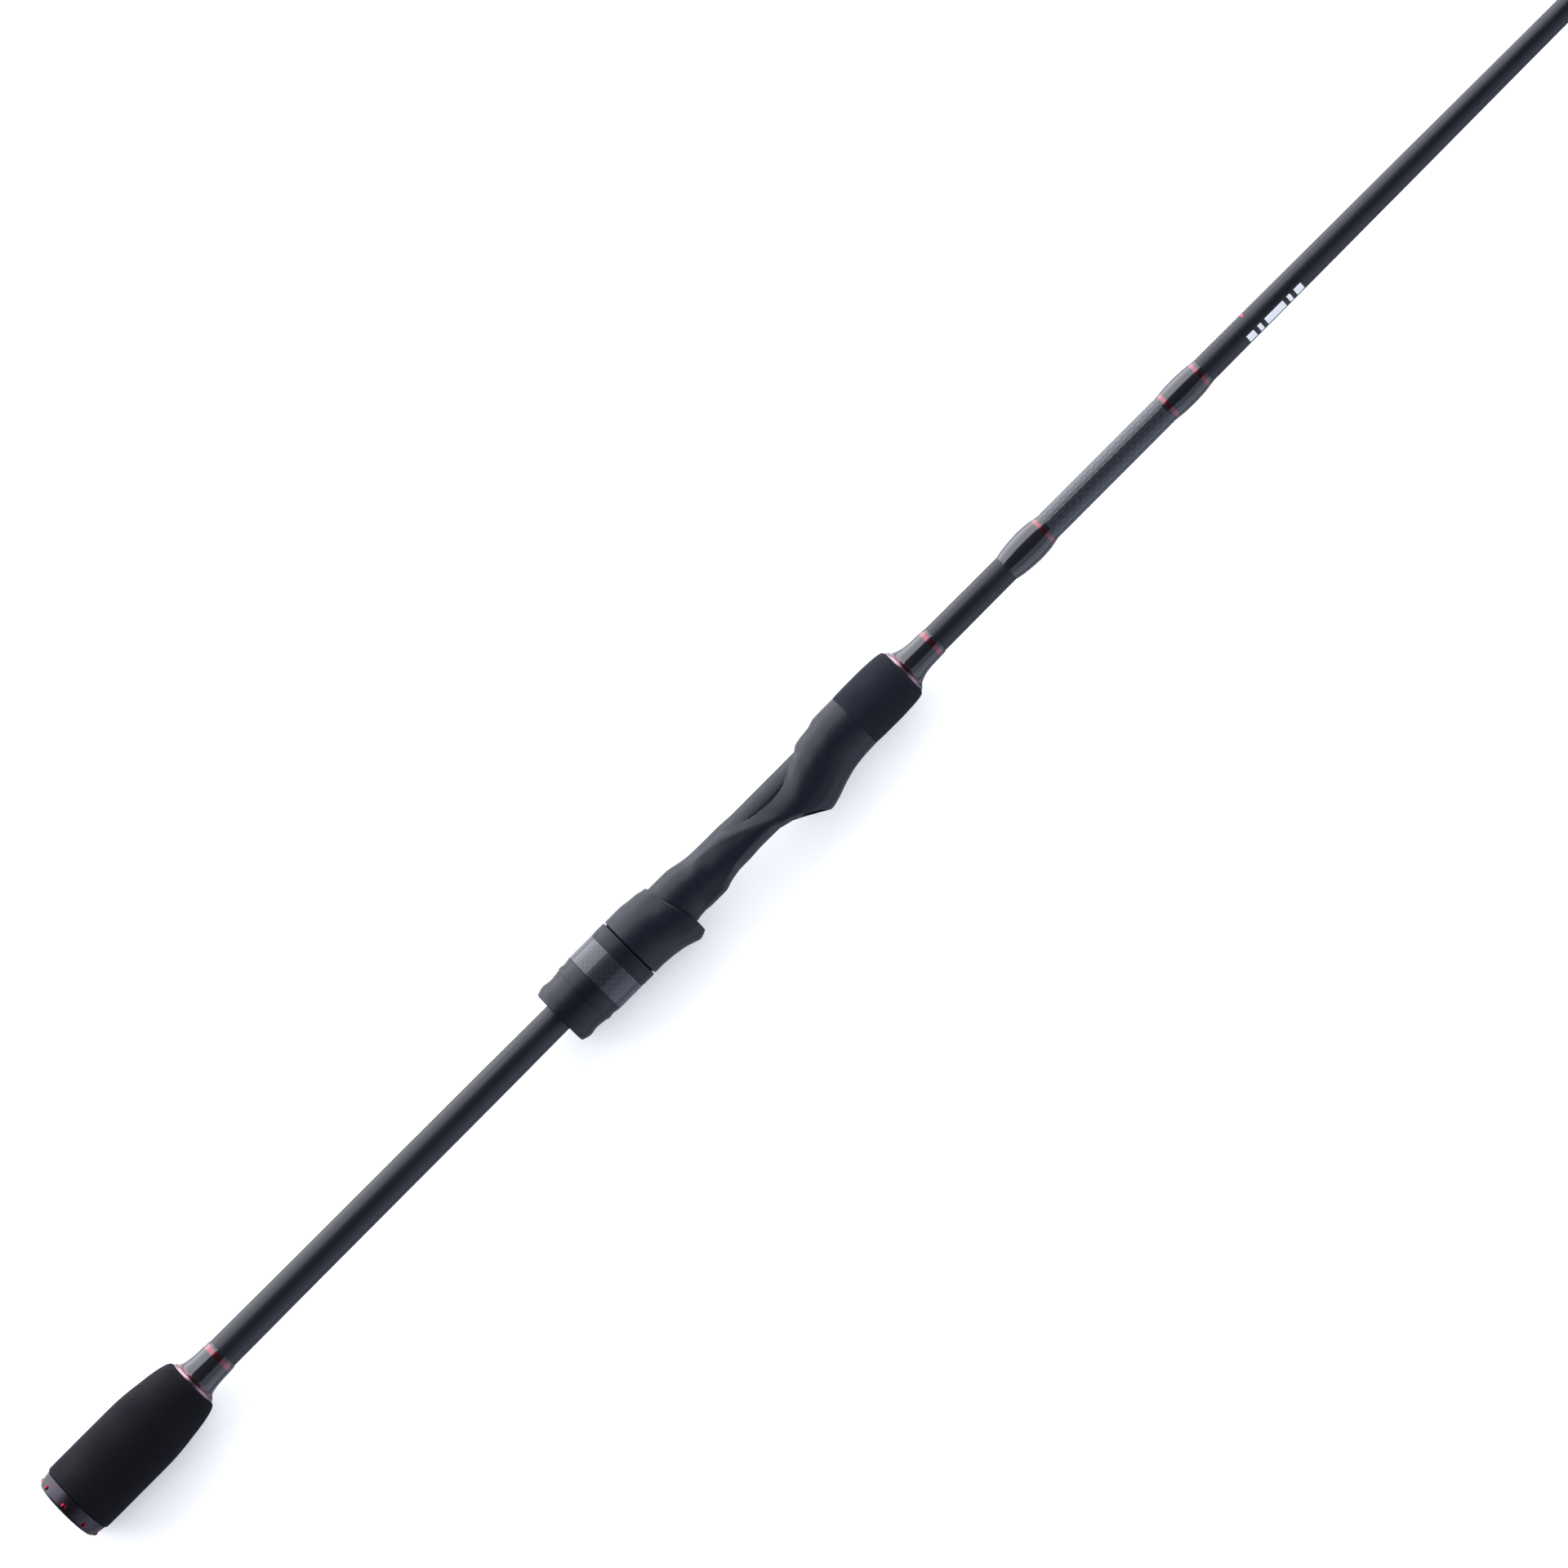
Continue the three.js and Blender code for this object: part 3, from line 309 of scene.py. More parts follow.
def weave(name, cell, cy, radius, lo, hi, rough, coat, twill=True, relief=0.05, metallic=0.2, spec=0.3):
    """Carbon cloth: tows that pass over and under each other, under a clear coat."""
    m, nt, b = nodes_of(name)
    x, arc, ang = around(nt, cy, radius)
    n_round = max(4, round(2 * math.pi * radius / cell / 4) * 4)
    v = math_(nt, "MULTIPLY", ang, n_round / (2 * math.pi))
    u = math_(nt, "MULTIPLY", x, 1 / cell)
    fu, fv = math_(nt, "FLOOR", u), math_(nt, "FLOOR", v)
    s = math_(nt, "ADD", fu, fv)
    k = math_(nt, "FLOORED_MODULO", s, 4.0 if twill else 2.0)
    over_ = math_(nt, "LESS_THAN", k, 2.0 if twill else 1.0)
    du = math_(nt, "SUBTRACT", math_(nt, "SUBTRACT", u, fu), 0.5)
    dv = math_(nt, "SUBTRACT", math_(nt, "SUBTRACT", v, fv), 0.5)
    crown_u = math_(nt, "SUBTRACT", 1.0, math_(nt, "MULTIPLY", math_(nt, "MULTIPLY", du, du), 4.0))
    crown_v = math_(nt, "SUBTRACT", 1.0, math_(nt, "MULTIPLY", math_(nt, "MULTIPLY", dv, dv), 4.0))
    h = node(nt, "ShaderNodeMix", {0: over_, 2: crown_u, 3: crown_v}, data_type="FLOAT").outputs[0]
    h2 = node(nt, "ShaderNodeMix", {0: over_, 2: crown_v, 3: crown_u}, data_type="FLOAT").outputs[0]
    fib = noise(nt, 1.0, 2.0, 0.7, node(nt, "ShaderNodeCombineXYZ", {0: math_(nt, "MULTIPLY", u, 9.0), 1: math_(nt, "MULTIPLY", v, 9.0), 2: math_(nt, "MULTIPLY", over_, 7.0)}).outputs[0])
    # tows running along the rod (over_) are painted lighter than those running round it, and each tow lighter mid-span
    # where it crests (h2): a painted reflection of the fibres' sheen, mixed with random fibre tone from fib
    tow_sheen_and_fibre_tone = math_(nt, "MULTIPLY_ADD", over_, 0.45, math_(nt, "MULTIPLY_ADD", fib.outputs[0], 0.35, math_(nt, "MULTIPLY", h2, 0.25)))
    link(nt, mixc(nt, fit(nt, tow_sheen_and_fibre_tone, 0.1, 1.0, 0, 1), lo, hi), b.inputs["Base Color"])
    link(nt, fit(nt, tow_sheen_and_fibre_tone, 0.1, 1.0, rough + 0.1, rough - 0.05), b.inputs["Roughness"])
    b.inputs["Metallic"].default_value = metallic
    b.inputs["Specular IOR Level"].default_value = spec
    hh = math_(nt, "MULTIPLY_ADD", h, 0.7, math_(nt, "MULTIPLY", h2, 0.3))
    n1 = bump(nt, hh, relief)
    link(nt, bump(nt, fib.outputs[0], 0.02, 0.5, n1), b.inputs["Normal"])
    b.inputs["Coat Weight"].default_value = coat
    b.inputs["Coat Roughness"].default_value = 0.12
    return m


def metal(name, color, rough, brushed=True, cy=0.0):
    """Turned and anodised metal, with faint lathe lines round it."""
    m, nt, b = nodes_of(name)
    x, arc, ang = around(nt, cy)
    if brushed:
        lines = noise(nt, 1.0, 3.0, 0.7, node(nt, "ShaderNodeCombineXYZ", {0: math_(nt, "MULTIPLY", x, 14.0), 1: math_(nt, "MULTIPLY", ang, 0.5), 2: 0.0}).outputs[0])
        link(nt, bump(nt, lines.outputs[0], 0.012, 0.6), b.inputs["Normal"])
    else:
        lines = noise(nt, 2.0, 3.0)
    link(nt, fit(nt, lines.outputs[0], 0.3, 0.7, rough - 0.05, rough + 0.07), b.inputs["Roughness"])
    big = noise(nt, 0.3, 3.0)
    link(nt, mixc(nt, fit(nt, big.outputs[0], 0.3, 0.7, 0, 1), color, tuple(min(1, c * 1.18) for c in color)), b.inputs["Base Color"])
    b.inputs["Metallic"].default_value = 1.0
    return m


def plain(name, lo, hi, rough, scale=1.0, metallic=0.0, coat=0.0, spec=0.5):
    m, nt, b = nodes_of(name)
    n = noise(nt, scale, 4.0)
    link(nt, mixc(nt, fit(nt, n.outputs[0], 0.3, 0.7, 0, 1), lo, hi), b.inputs["Base Color"])
    link(nt, fit(nt, noise(nt, scale * 3.1, 3.0).outputs[0], 0.3, 0.7, max(0.02, rough - 0.05), rough + 0.05), b.inputs["Roughness"])
    b.inputs["Metallic"].default_value = metallic
    b.inputs["Coat Weight"].default_value = coat
    b.inputs["Specular IOR Level"].default_value = spec
    return m


MAT = {
    "blank_carbon": blank_material("blank_carbon"),
    "butt_cap_metal": metal("butt_cap_metal", (0.030, 0.027, 0.033), 0.36),
    "red_anodised": metal("red_anodised", (0.15, 0.006, 0.013), 0.24, brushed=False),
    "eva_foam": foam("eva_foam", (0.0008, 0.0009, 0.0019), (0.0023, 0.0026, 0.0044), 0.10),
    "fore_foam": foam("eva_foam_front", (0.0022, 0.0030, 0.0058), (0.0048, 0.0064, 0.0110), 0.13),
    "winding_check_metal": metal("winding_check_metal", (0.20, 0.13, 0.15), 0.26),
    "red_thread": epoxy_thread("red_thread", (0.055, 0.005, 0.010), (0.150, 0.020, 0.032), metal=1.0, base_rough=0.28),
    "epoxy_thread": epoxy_thread("epoxy_thread", (0.0022, 0.0026, 0.004), (0.0055, 0.006, 0.009)),
    "seat_resin": resin("seat_resin", (0.0033, 0.0045, 0.0084), (0.0042, 0.0056, 0.0098), 0.40, spec=0.19),
    "nut_resin": resin("nut_resin", (0.0018, 0.0026, 0.0052), (0.0025, 0.0034, 0.0064), 0.37, spec=0.21),
    "core_tube_carbon": resin("core_tube_carbon", (0.0045, 0.006, 0.0105), (0.0055, 0.0072, 0.012), 0.38, 0.008, spec=0.24),
    "trim_ring_plastic": resin("trim_ring_plastic", (0.003, 0.0042, 0.0078), (0.0038, 0.005, 0.009), 0.41, 0.006, spec=0.17),
    "arbor_tape": plain("arbor_tape", (0.40, 0.34, 0.20), (0.52, 0.46, 0.30), 0.6, 0.8),
    "nut_weave": weave("woven_carbon_nut", 1.35, SEAT_Y, 12.2, (0.0055, 0.0070, 0.0102), (0.0160, 0.0182, 0.0242), 0.34, 0.42, twill=False, relief=0.034),
    "sleeve_weave": weave("woven_carbon_sleeve", 1.62, 0.0, 5.1, (0.0085, 0.0100, 0.0145), (0.0200, 0.0222, 0.0288), 0.34, 0.42, twill=False, relief=0.075),
    "guide_steel": metal("guide_steel", (0.10, 0.10, 0.108), 0.2, brushed=False),
    "guide_ceramic": plain("guide_ceramic", (0.010, 0.011, 0.013), (0.014, 0.015, 0.018), 0.07, 0.6, coat=0.4),
}
m, nt, b = nodes_of("floor")
fn = noise(nt, 0.004, 2.0)
link(nt, mixc(nt, fn.outputs[0], (0.90, 0.90, 0.90), (0.93, 0.93, 0.93)), b.inputs["Base Color"])
b.inputs["Roughness"].default_value = 0.9
b.inputs["Specular IOR Level"].default_value = 0.1
b.inputs["Emission Color"].default_value = (1.0, 1.0, 1.0, 1.0)
b.inputs["Emission Strength"].default_value = 0.16
floor_mesh = bpy.data.meshes.new("floor")
floor_mesh.from_pydata([(-12, -12, FLOOR_Z), (14, -12, FLOOR_Z), (14, 12, FLOOR_Z), (-12, 12, FLOOR_Z)], [], [(0, 1, 2, 3)])
floor = bpy.data.objects.new("floor", floor_mesh)
scene.collection.objects.link(floor)
floor_mesh.materials.append(m)
floor.visible_glossy = False
floor.visible_shadow = False


# ------------------------------------------------------------------ shape tools
def add(name, verts, faces, mat, body="rod", replaces=None, slot=None, sharp=40.0):
    """A piece from points in millimetres."""
    me = bpy.data.meshes.new(name)
    verts = (np.asarray(verts, float) - (DATUM, 0, 0)) * MM
    me.from_pydata(verts.tolist(), [], faces if isinstance(faces, list) else faces.tolist())
    me.validate()
    me.shade_smooth()
    if sharp is not None:
        me.set_sharp_from_angle(angle=math.radians(sharp))
    me.materials.append(mat)
    ob = bpy.data.objects.new(name, me)
    scene.collection.objects.link(ob)
    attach(ob, body)
    if replaces:
        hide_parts(*([replaces] if isinstance(replaces, str) else replaces))
    return ob


def rounded(points, n=4):
    """A closed [x, r] outline; a point with a third number has its corner rounded by that radius."""
    out, k = [], len(points)
    for i, p in enumerate(points):
        rad = p[2] if len(p) > 2 else 0
        if rad <= 0:
            out.append(p[:2])
            continue
        q = np.array(p[:2], float)
        a = np.array(points[i - 1][:2], float) - q
        b_ = np.array(points[(i + 1) % k][:2], float) - q
        la, lb = np.linalg.norm(a), np.linalg.norm(b_)
        a, b_ = a / la, b_ / lb
        cos = float(np.clip(a @ b_, -1, 1))
        half = math.acos(cos) / 2
        d = min(rad / math.tan(half), la * 0.49, lb * 0.49)
        r = d * math.tan(half)
        centre = q + (a + b_) / np.linalg.norm(a + b_) * (r / math.sin(half))
        s, e = q + a * d - centre, q + b_ * d - centre
        ang = math.pi - 2 * half
        for t in np.linspace(0, 1, n + 1):
            w = (math.sin((1 - t) * ang) * s + math.sin(t * ang) * e) / math.sin(ang)
            out.append(list(centre + w))
    return out


def revolve(name, outline, mat, seg=96, cy=0.0, body="rod", replaces=None, slot=None, sharp=40.0, close=True):
    """Turns an [x, r] outline about the X axis at y = cy. Points on the axis become one vertex."""
    pts = [list(p[:2]) for p in outline]
    area = sum(p[0] * q[1] - q[0] * p[1] for p, q in zip(pts, pts[1:] + pts[:1]))
    if area > 0:
        pts.reverse()
    verts, rows = [], []
    for x, r in pts:
        if r < 1e-6:
            rows.append([len(verts)])
            verts.append((x, cy, 0))
        else:
            rows.append(list(range(len(verts), len(verts) + seg)))
            a = np.arange(seg) * 2 * math.pi / seg
            verts += list(zip(np.full(seg, x), cy + r * np.cos(a), r * np.sin(a)))
    faces = []
    pairs = list(zip(rows, rows[1:] + rows[:1])) if close else list(zip(rows, rows[1:]))
    for A, B in pairs:
        if len(A) == 1 and len(B) == 1:
            continue
        for j in range(seg):
            k = (j + 1) % seg
            if len(A) == 1:
                faces.append((A[0], B[j], B[k]))
            elif len(B) == 1:
                faces.append((A[j], B[0], A[k]))
            else:
                faces.append((A[j], B[j], B[k], A[k]))
    return add(name, verts, faces, mat, body, replaces, slot, sharp)


def pchip(x, y, q):
    """Monotone cubic through (x, y), for columns of y, at q."""
    x, y, q = np.asarray(x, float), np.asarray(y, float), np.asarray(q, float)
    one = y.ndim == 1
    if one:
        y = y[:, None]
    h = np.diff(x)[:, None]
    d = np.diff(y, axis=0) / h
    m_ = np.zeros_like(y)
    same = d[:-1] * d[1:] > 0
    w1, w2 = 2 * h[1:] + h[:-1], h[1:] + 2 * h[:-1]
    with np.errstate(divide="ignore", invalid="ignore"):
        inner = (w1 + w2) / (w1 / d[:-1] + w2 / d[1:])
    m_[1:-1] = np.where(same, inner, 0)
    m_[0], m_[-1] = d[0], d[-1]
    i = np.clip(np.searchsorted(x, q) - 1, 0, len(x) - 2)
    t = ((q - x[i]) / h[i, 0])[:, None]
    hh = h[i]
    r = (2 * t**3 - 3 * t**2 + 1) * y[i] + (t**3 - 2 * t**2 + t) * hh * m_[i] + (-2 * t**3 + 3 * t**2) * y[i + 1] + (t**3 - t**2) * hh * m_[i + 1]
    return r[:, 0] if one else r


def curve(points, step=0.5):
    """A smooth outline through [x, r] points with rising x."""
    p = np.array(points, float)
    q = np.arange(p[0, 0], p[-1, 0], step)
    q = np.append(q, p[-1, 0])
    return np.c_[q, pchip(p[:, 0], p[:, 1], q)].tolist()


# the blank's outside radius against distance from the butt, as built
BLANK = np.array([(3.2, 5.95), (90, 5.84), (110, 5.74), (210, 5.58), (238, 5.42), (404, 5.14), (455, 5.0), (531, 4.88), (600, 4.67), (650, 4.47), (700, 4.22), (914, 3.45), (1200, 2.64), (1500, 1.96), (1800, 1.38), (2050, 0.98), (2127, 0.88)])


def blank_r(x):
    return float(np.interp(x, BLANK[:, 0], BLANK[:, 1]))


# ------------------------------------------------------------------ blank and grips
xs = np.unique(np.r_[np.arange(3.2, 2127, 8.0), BLANK[:, 0]])
outer = [[x, float(r)] for x, r in zip(xs, pchip(BLANK[:, 0], BLANK[:, 1], xs))]
inner = [[2127, 0.4], [1500, 1.14], [700, 3.14], [3.2, 4.7]]
revolve("blank", outer + inner, MAT["blank_carbon"], 64, replaces="blank", slot="blank_carbon")

# butt cap: a domed end, a tapered side with eight round sockets, and a small step where it meets the foam
cap = [[1.5, 0.0], [1.5, 6.9, 3.0], [1.72, 9.7, 2.5], [2.12, 11.6, 1.0], [2.7, 12.36, 0.5], [4.4, 13.0, 4.0], [7.56, 13.44, 0.2], [7.7, 13.15, 0.1], [7.7, 9.0], [13.0, 9.0], [13.0, 6.05], [2.9, 6.05], [2.9, 0.0]]


def boolean(ob, cutters, op="DIFFERENCE"):
    """Applies a boolean to ob's mesh with each cutter, and removes the cutters."""
    for c in cutters:
        mod = ob.modifiers.new("b", "BOOLEAN")
        mod.operation, mod.object, mod.solver = op, c, "EXACT"
    dg = bpy.context.evaluated_depsgraph_get()
    me = bpy.data.meshes.new_from_object(ob.evaluated_get(dg))
    old = ob.data
    ob.modifiers.clear()
    ob.data = me
    me.name = ob.name
    bpy.data.meshes.remove(old)
    for c in cutters:
        data = c.data
        bpy.data.objects.remove(c)
        bpy.data.meshes.remove(data)
    return ob


def raw(name, verts, faces):
    me = bpy.data.meshes.new(name)
    me.from_pydata(((np.asarray(verts, float) - (DATUM, 0, 0)) * MM).tolist(), [], faces)
    ob = bpy.data.objects.new(name, me)
    scene.collection.objects.link(ob)
    return ob


def spun(outline, seg):
    """Points and faces of a closed [x, r] outline turned about X."""
    pts = [list(p[:2]) for p in outline]
    if sum(p[0] * q[1] - q[0] * p[1] for p, q in zip(pts, pts[1:] + pts[:1])) > 0:
        pts.reverse()
    verts, rows, faces = [], [], []
    for x, r in pts:
        if r < 1e-6:
            rows.append([len(verts)])
            verts.append((x, 0, 0))
        else:
            rows.append(list(range(len(verts), len(verts) + seg)))
            verts += [(x, r * math.cos(t), r * math.sin(t)) for t in np.arange(seg) * 2 * math.pi / seg]
    for A, B in zip(rows, rows[1:] + rows[:1]):
        if len(A) == 1 and len(B) == 1:
            continue
        for j in range(seg):
            k = (j + 1) % seg
            if len(A) == 1:
                faces.append((A[0], B[j], B[k]))
            elif len(B) == 1:
                faces.append((A[j], B[0], A[k]))
            else:
                faces.append((A[j], B[j], B[k], A[k]))
    return np.array(verts, float), faces


cap_ob = revolve("butt_cap", rounded(cap, 6), MAT["butt_cap_metal"], 192, replaces="butt_cap", slot="butt_cap_metal", sharp=None)
sockets = []
for k in range(8):
    a = (k + 0.5) * math.pi / 4 + 0.34
    turn = np.array(Matrix.Rotation(a, 3, "X"))
    # the outline runs along the radius: x becomes the outward direction
    to_y = np.array([[0, 1, 0], [1, 0, 0], [0, 0, -1]], float)
    v, f = spun([[11.3, 0], [11.3, 1.2], [15, 1.2], [15, 0]], 40)
    v = v @ to_y.T @ turn.T + np.array([4.05, 0, 0])
    sockets.append(raw("socket", v, f))
    head = [[10.9, 0], [10.9, 1.1], [12.5, 1.1, 0.1], [12.86, 0.98, 0.4], [13.28, 0.56, 0.7], [13.44, 0]]
    v, f = spun(rounded(head, 5), 40)
    v = v @ to_y.T @ turn.T + np.array([4.05, 0, 0])
    add(f"butt_stud_{k + 1}", v, f, MAT["red_anodised"], replaces=f"butt_stud_{k + 1}", slot="red_anodised", sharp=50)
boolean(cap_ob, sockets)
cap_ob.data.shade_smooth()
cap_ob.data.set_sharp_from_angle(angle=math.radians(32))

grip = curve([[7.8, 13.5], [8.1, 13.84], [9.0, 14.0], [14, 14.035], [38, 13.99], [45, 13.6], [50, 13.0], [55.5, 12.3], [59.5, 11.5], [61.6, 10.86], [62.6, 10.3], [63.1, 9.75], [63.26, 9.2]], 0.4)
revolve("rear_grip", grip + [[63.26, 6.02], [13.08, 6.02], [13.08, 9.1], [7.8, 9.1]], MAT["eva_foam"], 160, replaces="rear_grip", slot="eva_foam", sharp=50)
fore = curve([[381.96, 10.58], [382.6, 10.62], [384.0, 10.7], [387, 10.77], [393, 10.8], [399, 10.62], [402.6, 10.3], [404.2, 9.95], [405.0, 9.45], [405.2, 9.05]], 0.4)
revolve("foregrip", fore + [[405.2, 8.56], [381.96, 8.56]], MAT["fore_foam"], 144, replaces="foregrip", slot="eva_foam", sharp=50)
revolve("rear_winding_check", rounded([[63.3, 6.0], [63.3, 9.05, 0.1], [63.62, 9.0, 0.16], [63.9, 8.75, 0.15], [64.34, 8.5, 0.1], [64.34, 6.0]]), MAT["winding_check_metal"], 128, replaces="rear_winding_check", slot="winding_check_metal")
revolve("front_winding_check", rounded([[405.24, 5.3], [405.24, 8.9, 0.1], [405.55, 8.86, 0.16], [405.82, 8.6, 0.15], [406.24, 8.35, 0.1], [406.24, 5.3]]), MAT["winding_check_metal"], 128, replaces="front_winding_check", slot="winding_check_metal")


def wrap(name, outer, inner, bands=(), seg=112):
    """A thread wrap under epoxy, with bands of trim thread let in flush. A band is (x0, x1, name of its CAD node)."""
    p = np.array(outer, float)
    at = lambda q: pchip(p[:, 0], p[:, 1], q)
    x0, x1 = p[0, 0], p[-1, 0]
    top, q = [], x0
    stops = sorted(bands)
    for a, b_, trim in stops:
        xs_ = np.arange(q, a, 0.25)
        top += [[float(x), float(r)] for x, r in zip(xs_, at(xs_))] if a > x0 + 0.01 else []
        if a > x0 + 0.01:
            ra, rb = (float(v) for v in at(np.array([a, b_])))
            top += [[a, ra], [a, ra - 0.24], [b_, rb - 0.24], [b_, rb]]
        q = b_ + (0.02 if a <= x0 + 0.01 else 0.2)
        xt = np.linspace(a + 0.015, b_ - 0.015, 9)
        rt = at(xt) + 0.004
        ring_ = [[float(x), float(r)] for x, r in zip(xt, rt)]
        revolve(trim, ring_ + [[b_ - 0.015, float(at(np.array([b_]))[0]) - 0.22], [a + 0.015, float(at(np.array([a]))[0]) - 0.22]], MAT["red_thread"], seg, replaces=trim, slot="red_thread", sharp=35)
    xs_ = np.append(np.arange(q, x1, 0.25), x1)
    top += [[float(x), float(r)] for x, r in zip(xs_, at(xs_))]
    revolve(name, top + [[x1, inner], [top[0][0], inner]], MAT["epoxy_thread"], seg, replaces=name, slot="epoxy_thread", sharp=35)


wrap("rear_wrap", [[64.38, 8.5], [64.8, 7.95], [65.4, 7.45], [67.0, 6.92], [71, 6.42], [75.5, 6.28], [76.8, 6.2], [77.5, 6.02], [77.8, 5.9]], 5.87, [(64.38, 65.2, "rear_wrap_trim_lower"), (74.9, 76.9, "rear_wrap_trim_upper")])
wrap("front_wrap", [[406.28, 8.35], [406.7, 7.8], [407.3, 7.25], [409.0, 6.48], [411.2, 5.88], [414, 5.57], [418, 5.46], [419.8, 5.4], [420.5, 5.26], [420.8, 5.14]], 5.13, [(406.28, 407.1, "front_wrap_trim_lower"), (418.0, 419.8, "front_wrap_trim_upper")])
wrap("lower_blank_wrap", [[455.2, 5.06], [456.2, 5.3], [458, 5.64], [462, 6.08], [466, 6.25], [470, 6.04], [472.6, 5.64], [474.3, 5.28], [474.9, 5.16]], 5.0, [(472.1, 473.6, "lower_blank_wrap_trim")])
wrap("upper_blank_wrap", [[531.38, 5.1], [532.4, 5.24], [533.8, 5.4], [537, 5.64], [540.5, 5.7], [544.5, 5.55], [547.8, 5.2], [549.2, 5.0], [549.8, 4.9]], 4.86, [(532.2, 533.8, "upper_wrap_trim_lower"), (547.1, 548.7, "upper_wrap_trim_upper")])

# the cloth sleeve between the two wraps, with the tows standing a little proud
n_x, n_a = 330, 192
sx = np.linspace(474.98, 531.3, n_x)
ang = np.arange(n_a) * 2 * math.pi / n_a
SX, SA = np.meshgrid(sx, ang, indexing="ij")
ROUND = 20
u, v = SX / 1.62, SA * ROUND / (2 * math.pi)
which = (np.floor(u) + np.floor(v)) % 2 < 1
du, dv = np.abs(u - np.floor(u) - 0.5) * 2, np.abs(v - np.floor(v) - 0.5) * 2
tow = np.where(which, 1 - du**2 * 0.5 - dv**4, 1 - dv**2 * 0.5 - du**4)
edge = np.clip(np.minimum(SX - 475.1, 531.2 - SX) / 0.5, 0, 1)
SR = 5.12 - 0.03 * (SX - 475) / 56 + 0.065 * np.clip(tow, -0.2, 1) * edge
verts = np.c_[SX.ravel(), (SR * np.cos(SA)).ravel(), (SR * np.sin(SA)).ravel()].tolist()
for x in (531.3, 474.98):
    verts += [(x, 5.0 * math.cos(t), 5.0 * math.sin(t)) for t in ang]
idx = np.arange(n_x * n_a).reshape(n_x, n_a).tolist() + [list(range(n_x * n_a, n_x * n_a + n_a)), list(range(n_x * n_a + n_a, n_x * n_a + 2 * n_a))]
faces = []
for A, B in zip(idx, idx[1:] + idx[:1]):
    for j in range(n_a):
        k = (j + 1) % n_a
        faces.append((A[k], B[k], B[j], A[j]))
add("carbon_sleeve", verts, faces, MAT["sleeve_weave"], replaces="carbon_sleeve", slot="woven_carbon", sharp=60)

# ------------------------------------------------------------------ reel seat
revolve("seat_core_tube", rounded([[240.4, 6.4], [240.4, 7.0, 0.1], [404.7, 7.0, 0.1], [404.7, 6.4]]), MAT["core_tube_carbon"], 128, replaces="seat_core_tube", slot="core_tube_carbon")
for name, a, b_ in (("seat_arbor_rear", 244, 272), ("seat_arbor_front", 366, 401)):
    revolve(name, rounded([[a, blank_r(a) + 0.03], [a, 6.36, 0.15], [b_, 6.36, 0.15], [b_, blank_r(a) + 0.03]]), MAT["arbor_tape"], 72, replaces=name, slot="arbor_tape")


def ring(c, r, bottom=None):
    pts = [[c + r, 0]] + [[c + r * math.cos(math.radians(d)), r * math.sin(math.radians(d))] for d in (32, 50, 68, 90, 118, 141, 161)]
    return pts + [[c - r if bottom is None else bottom, 0]]


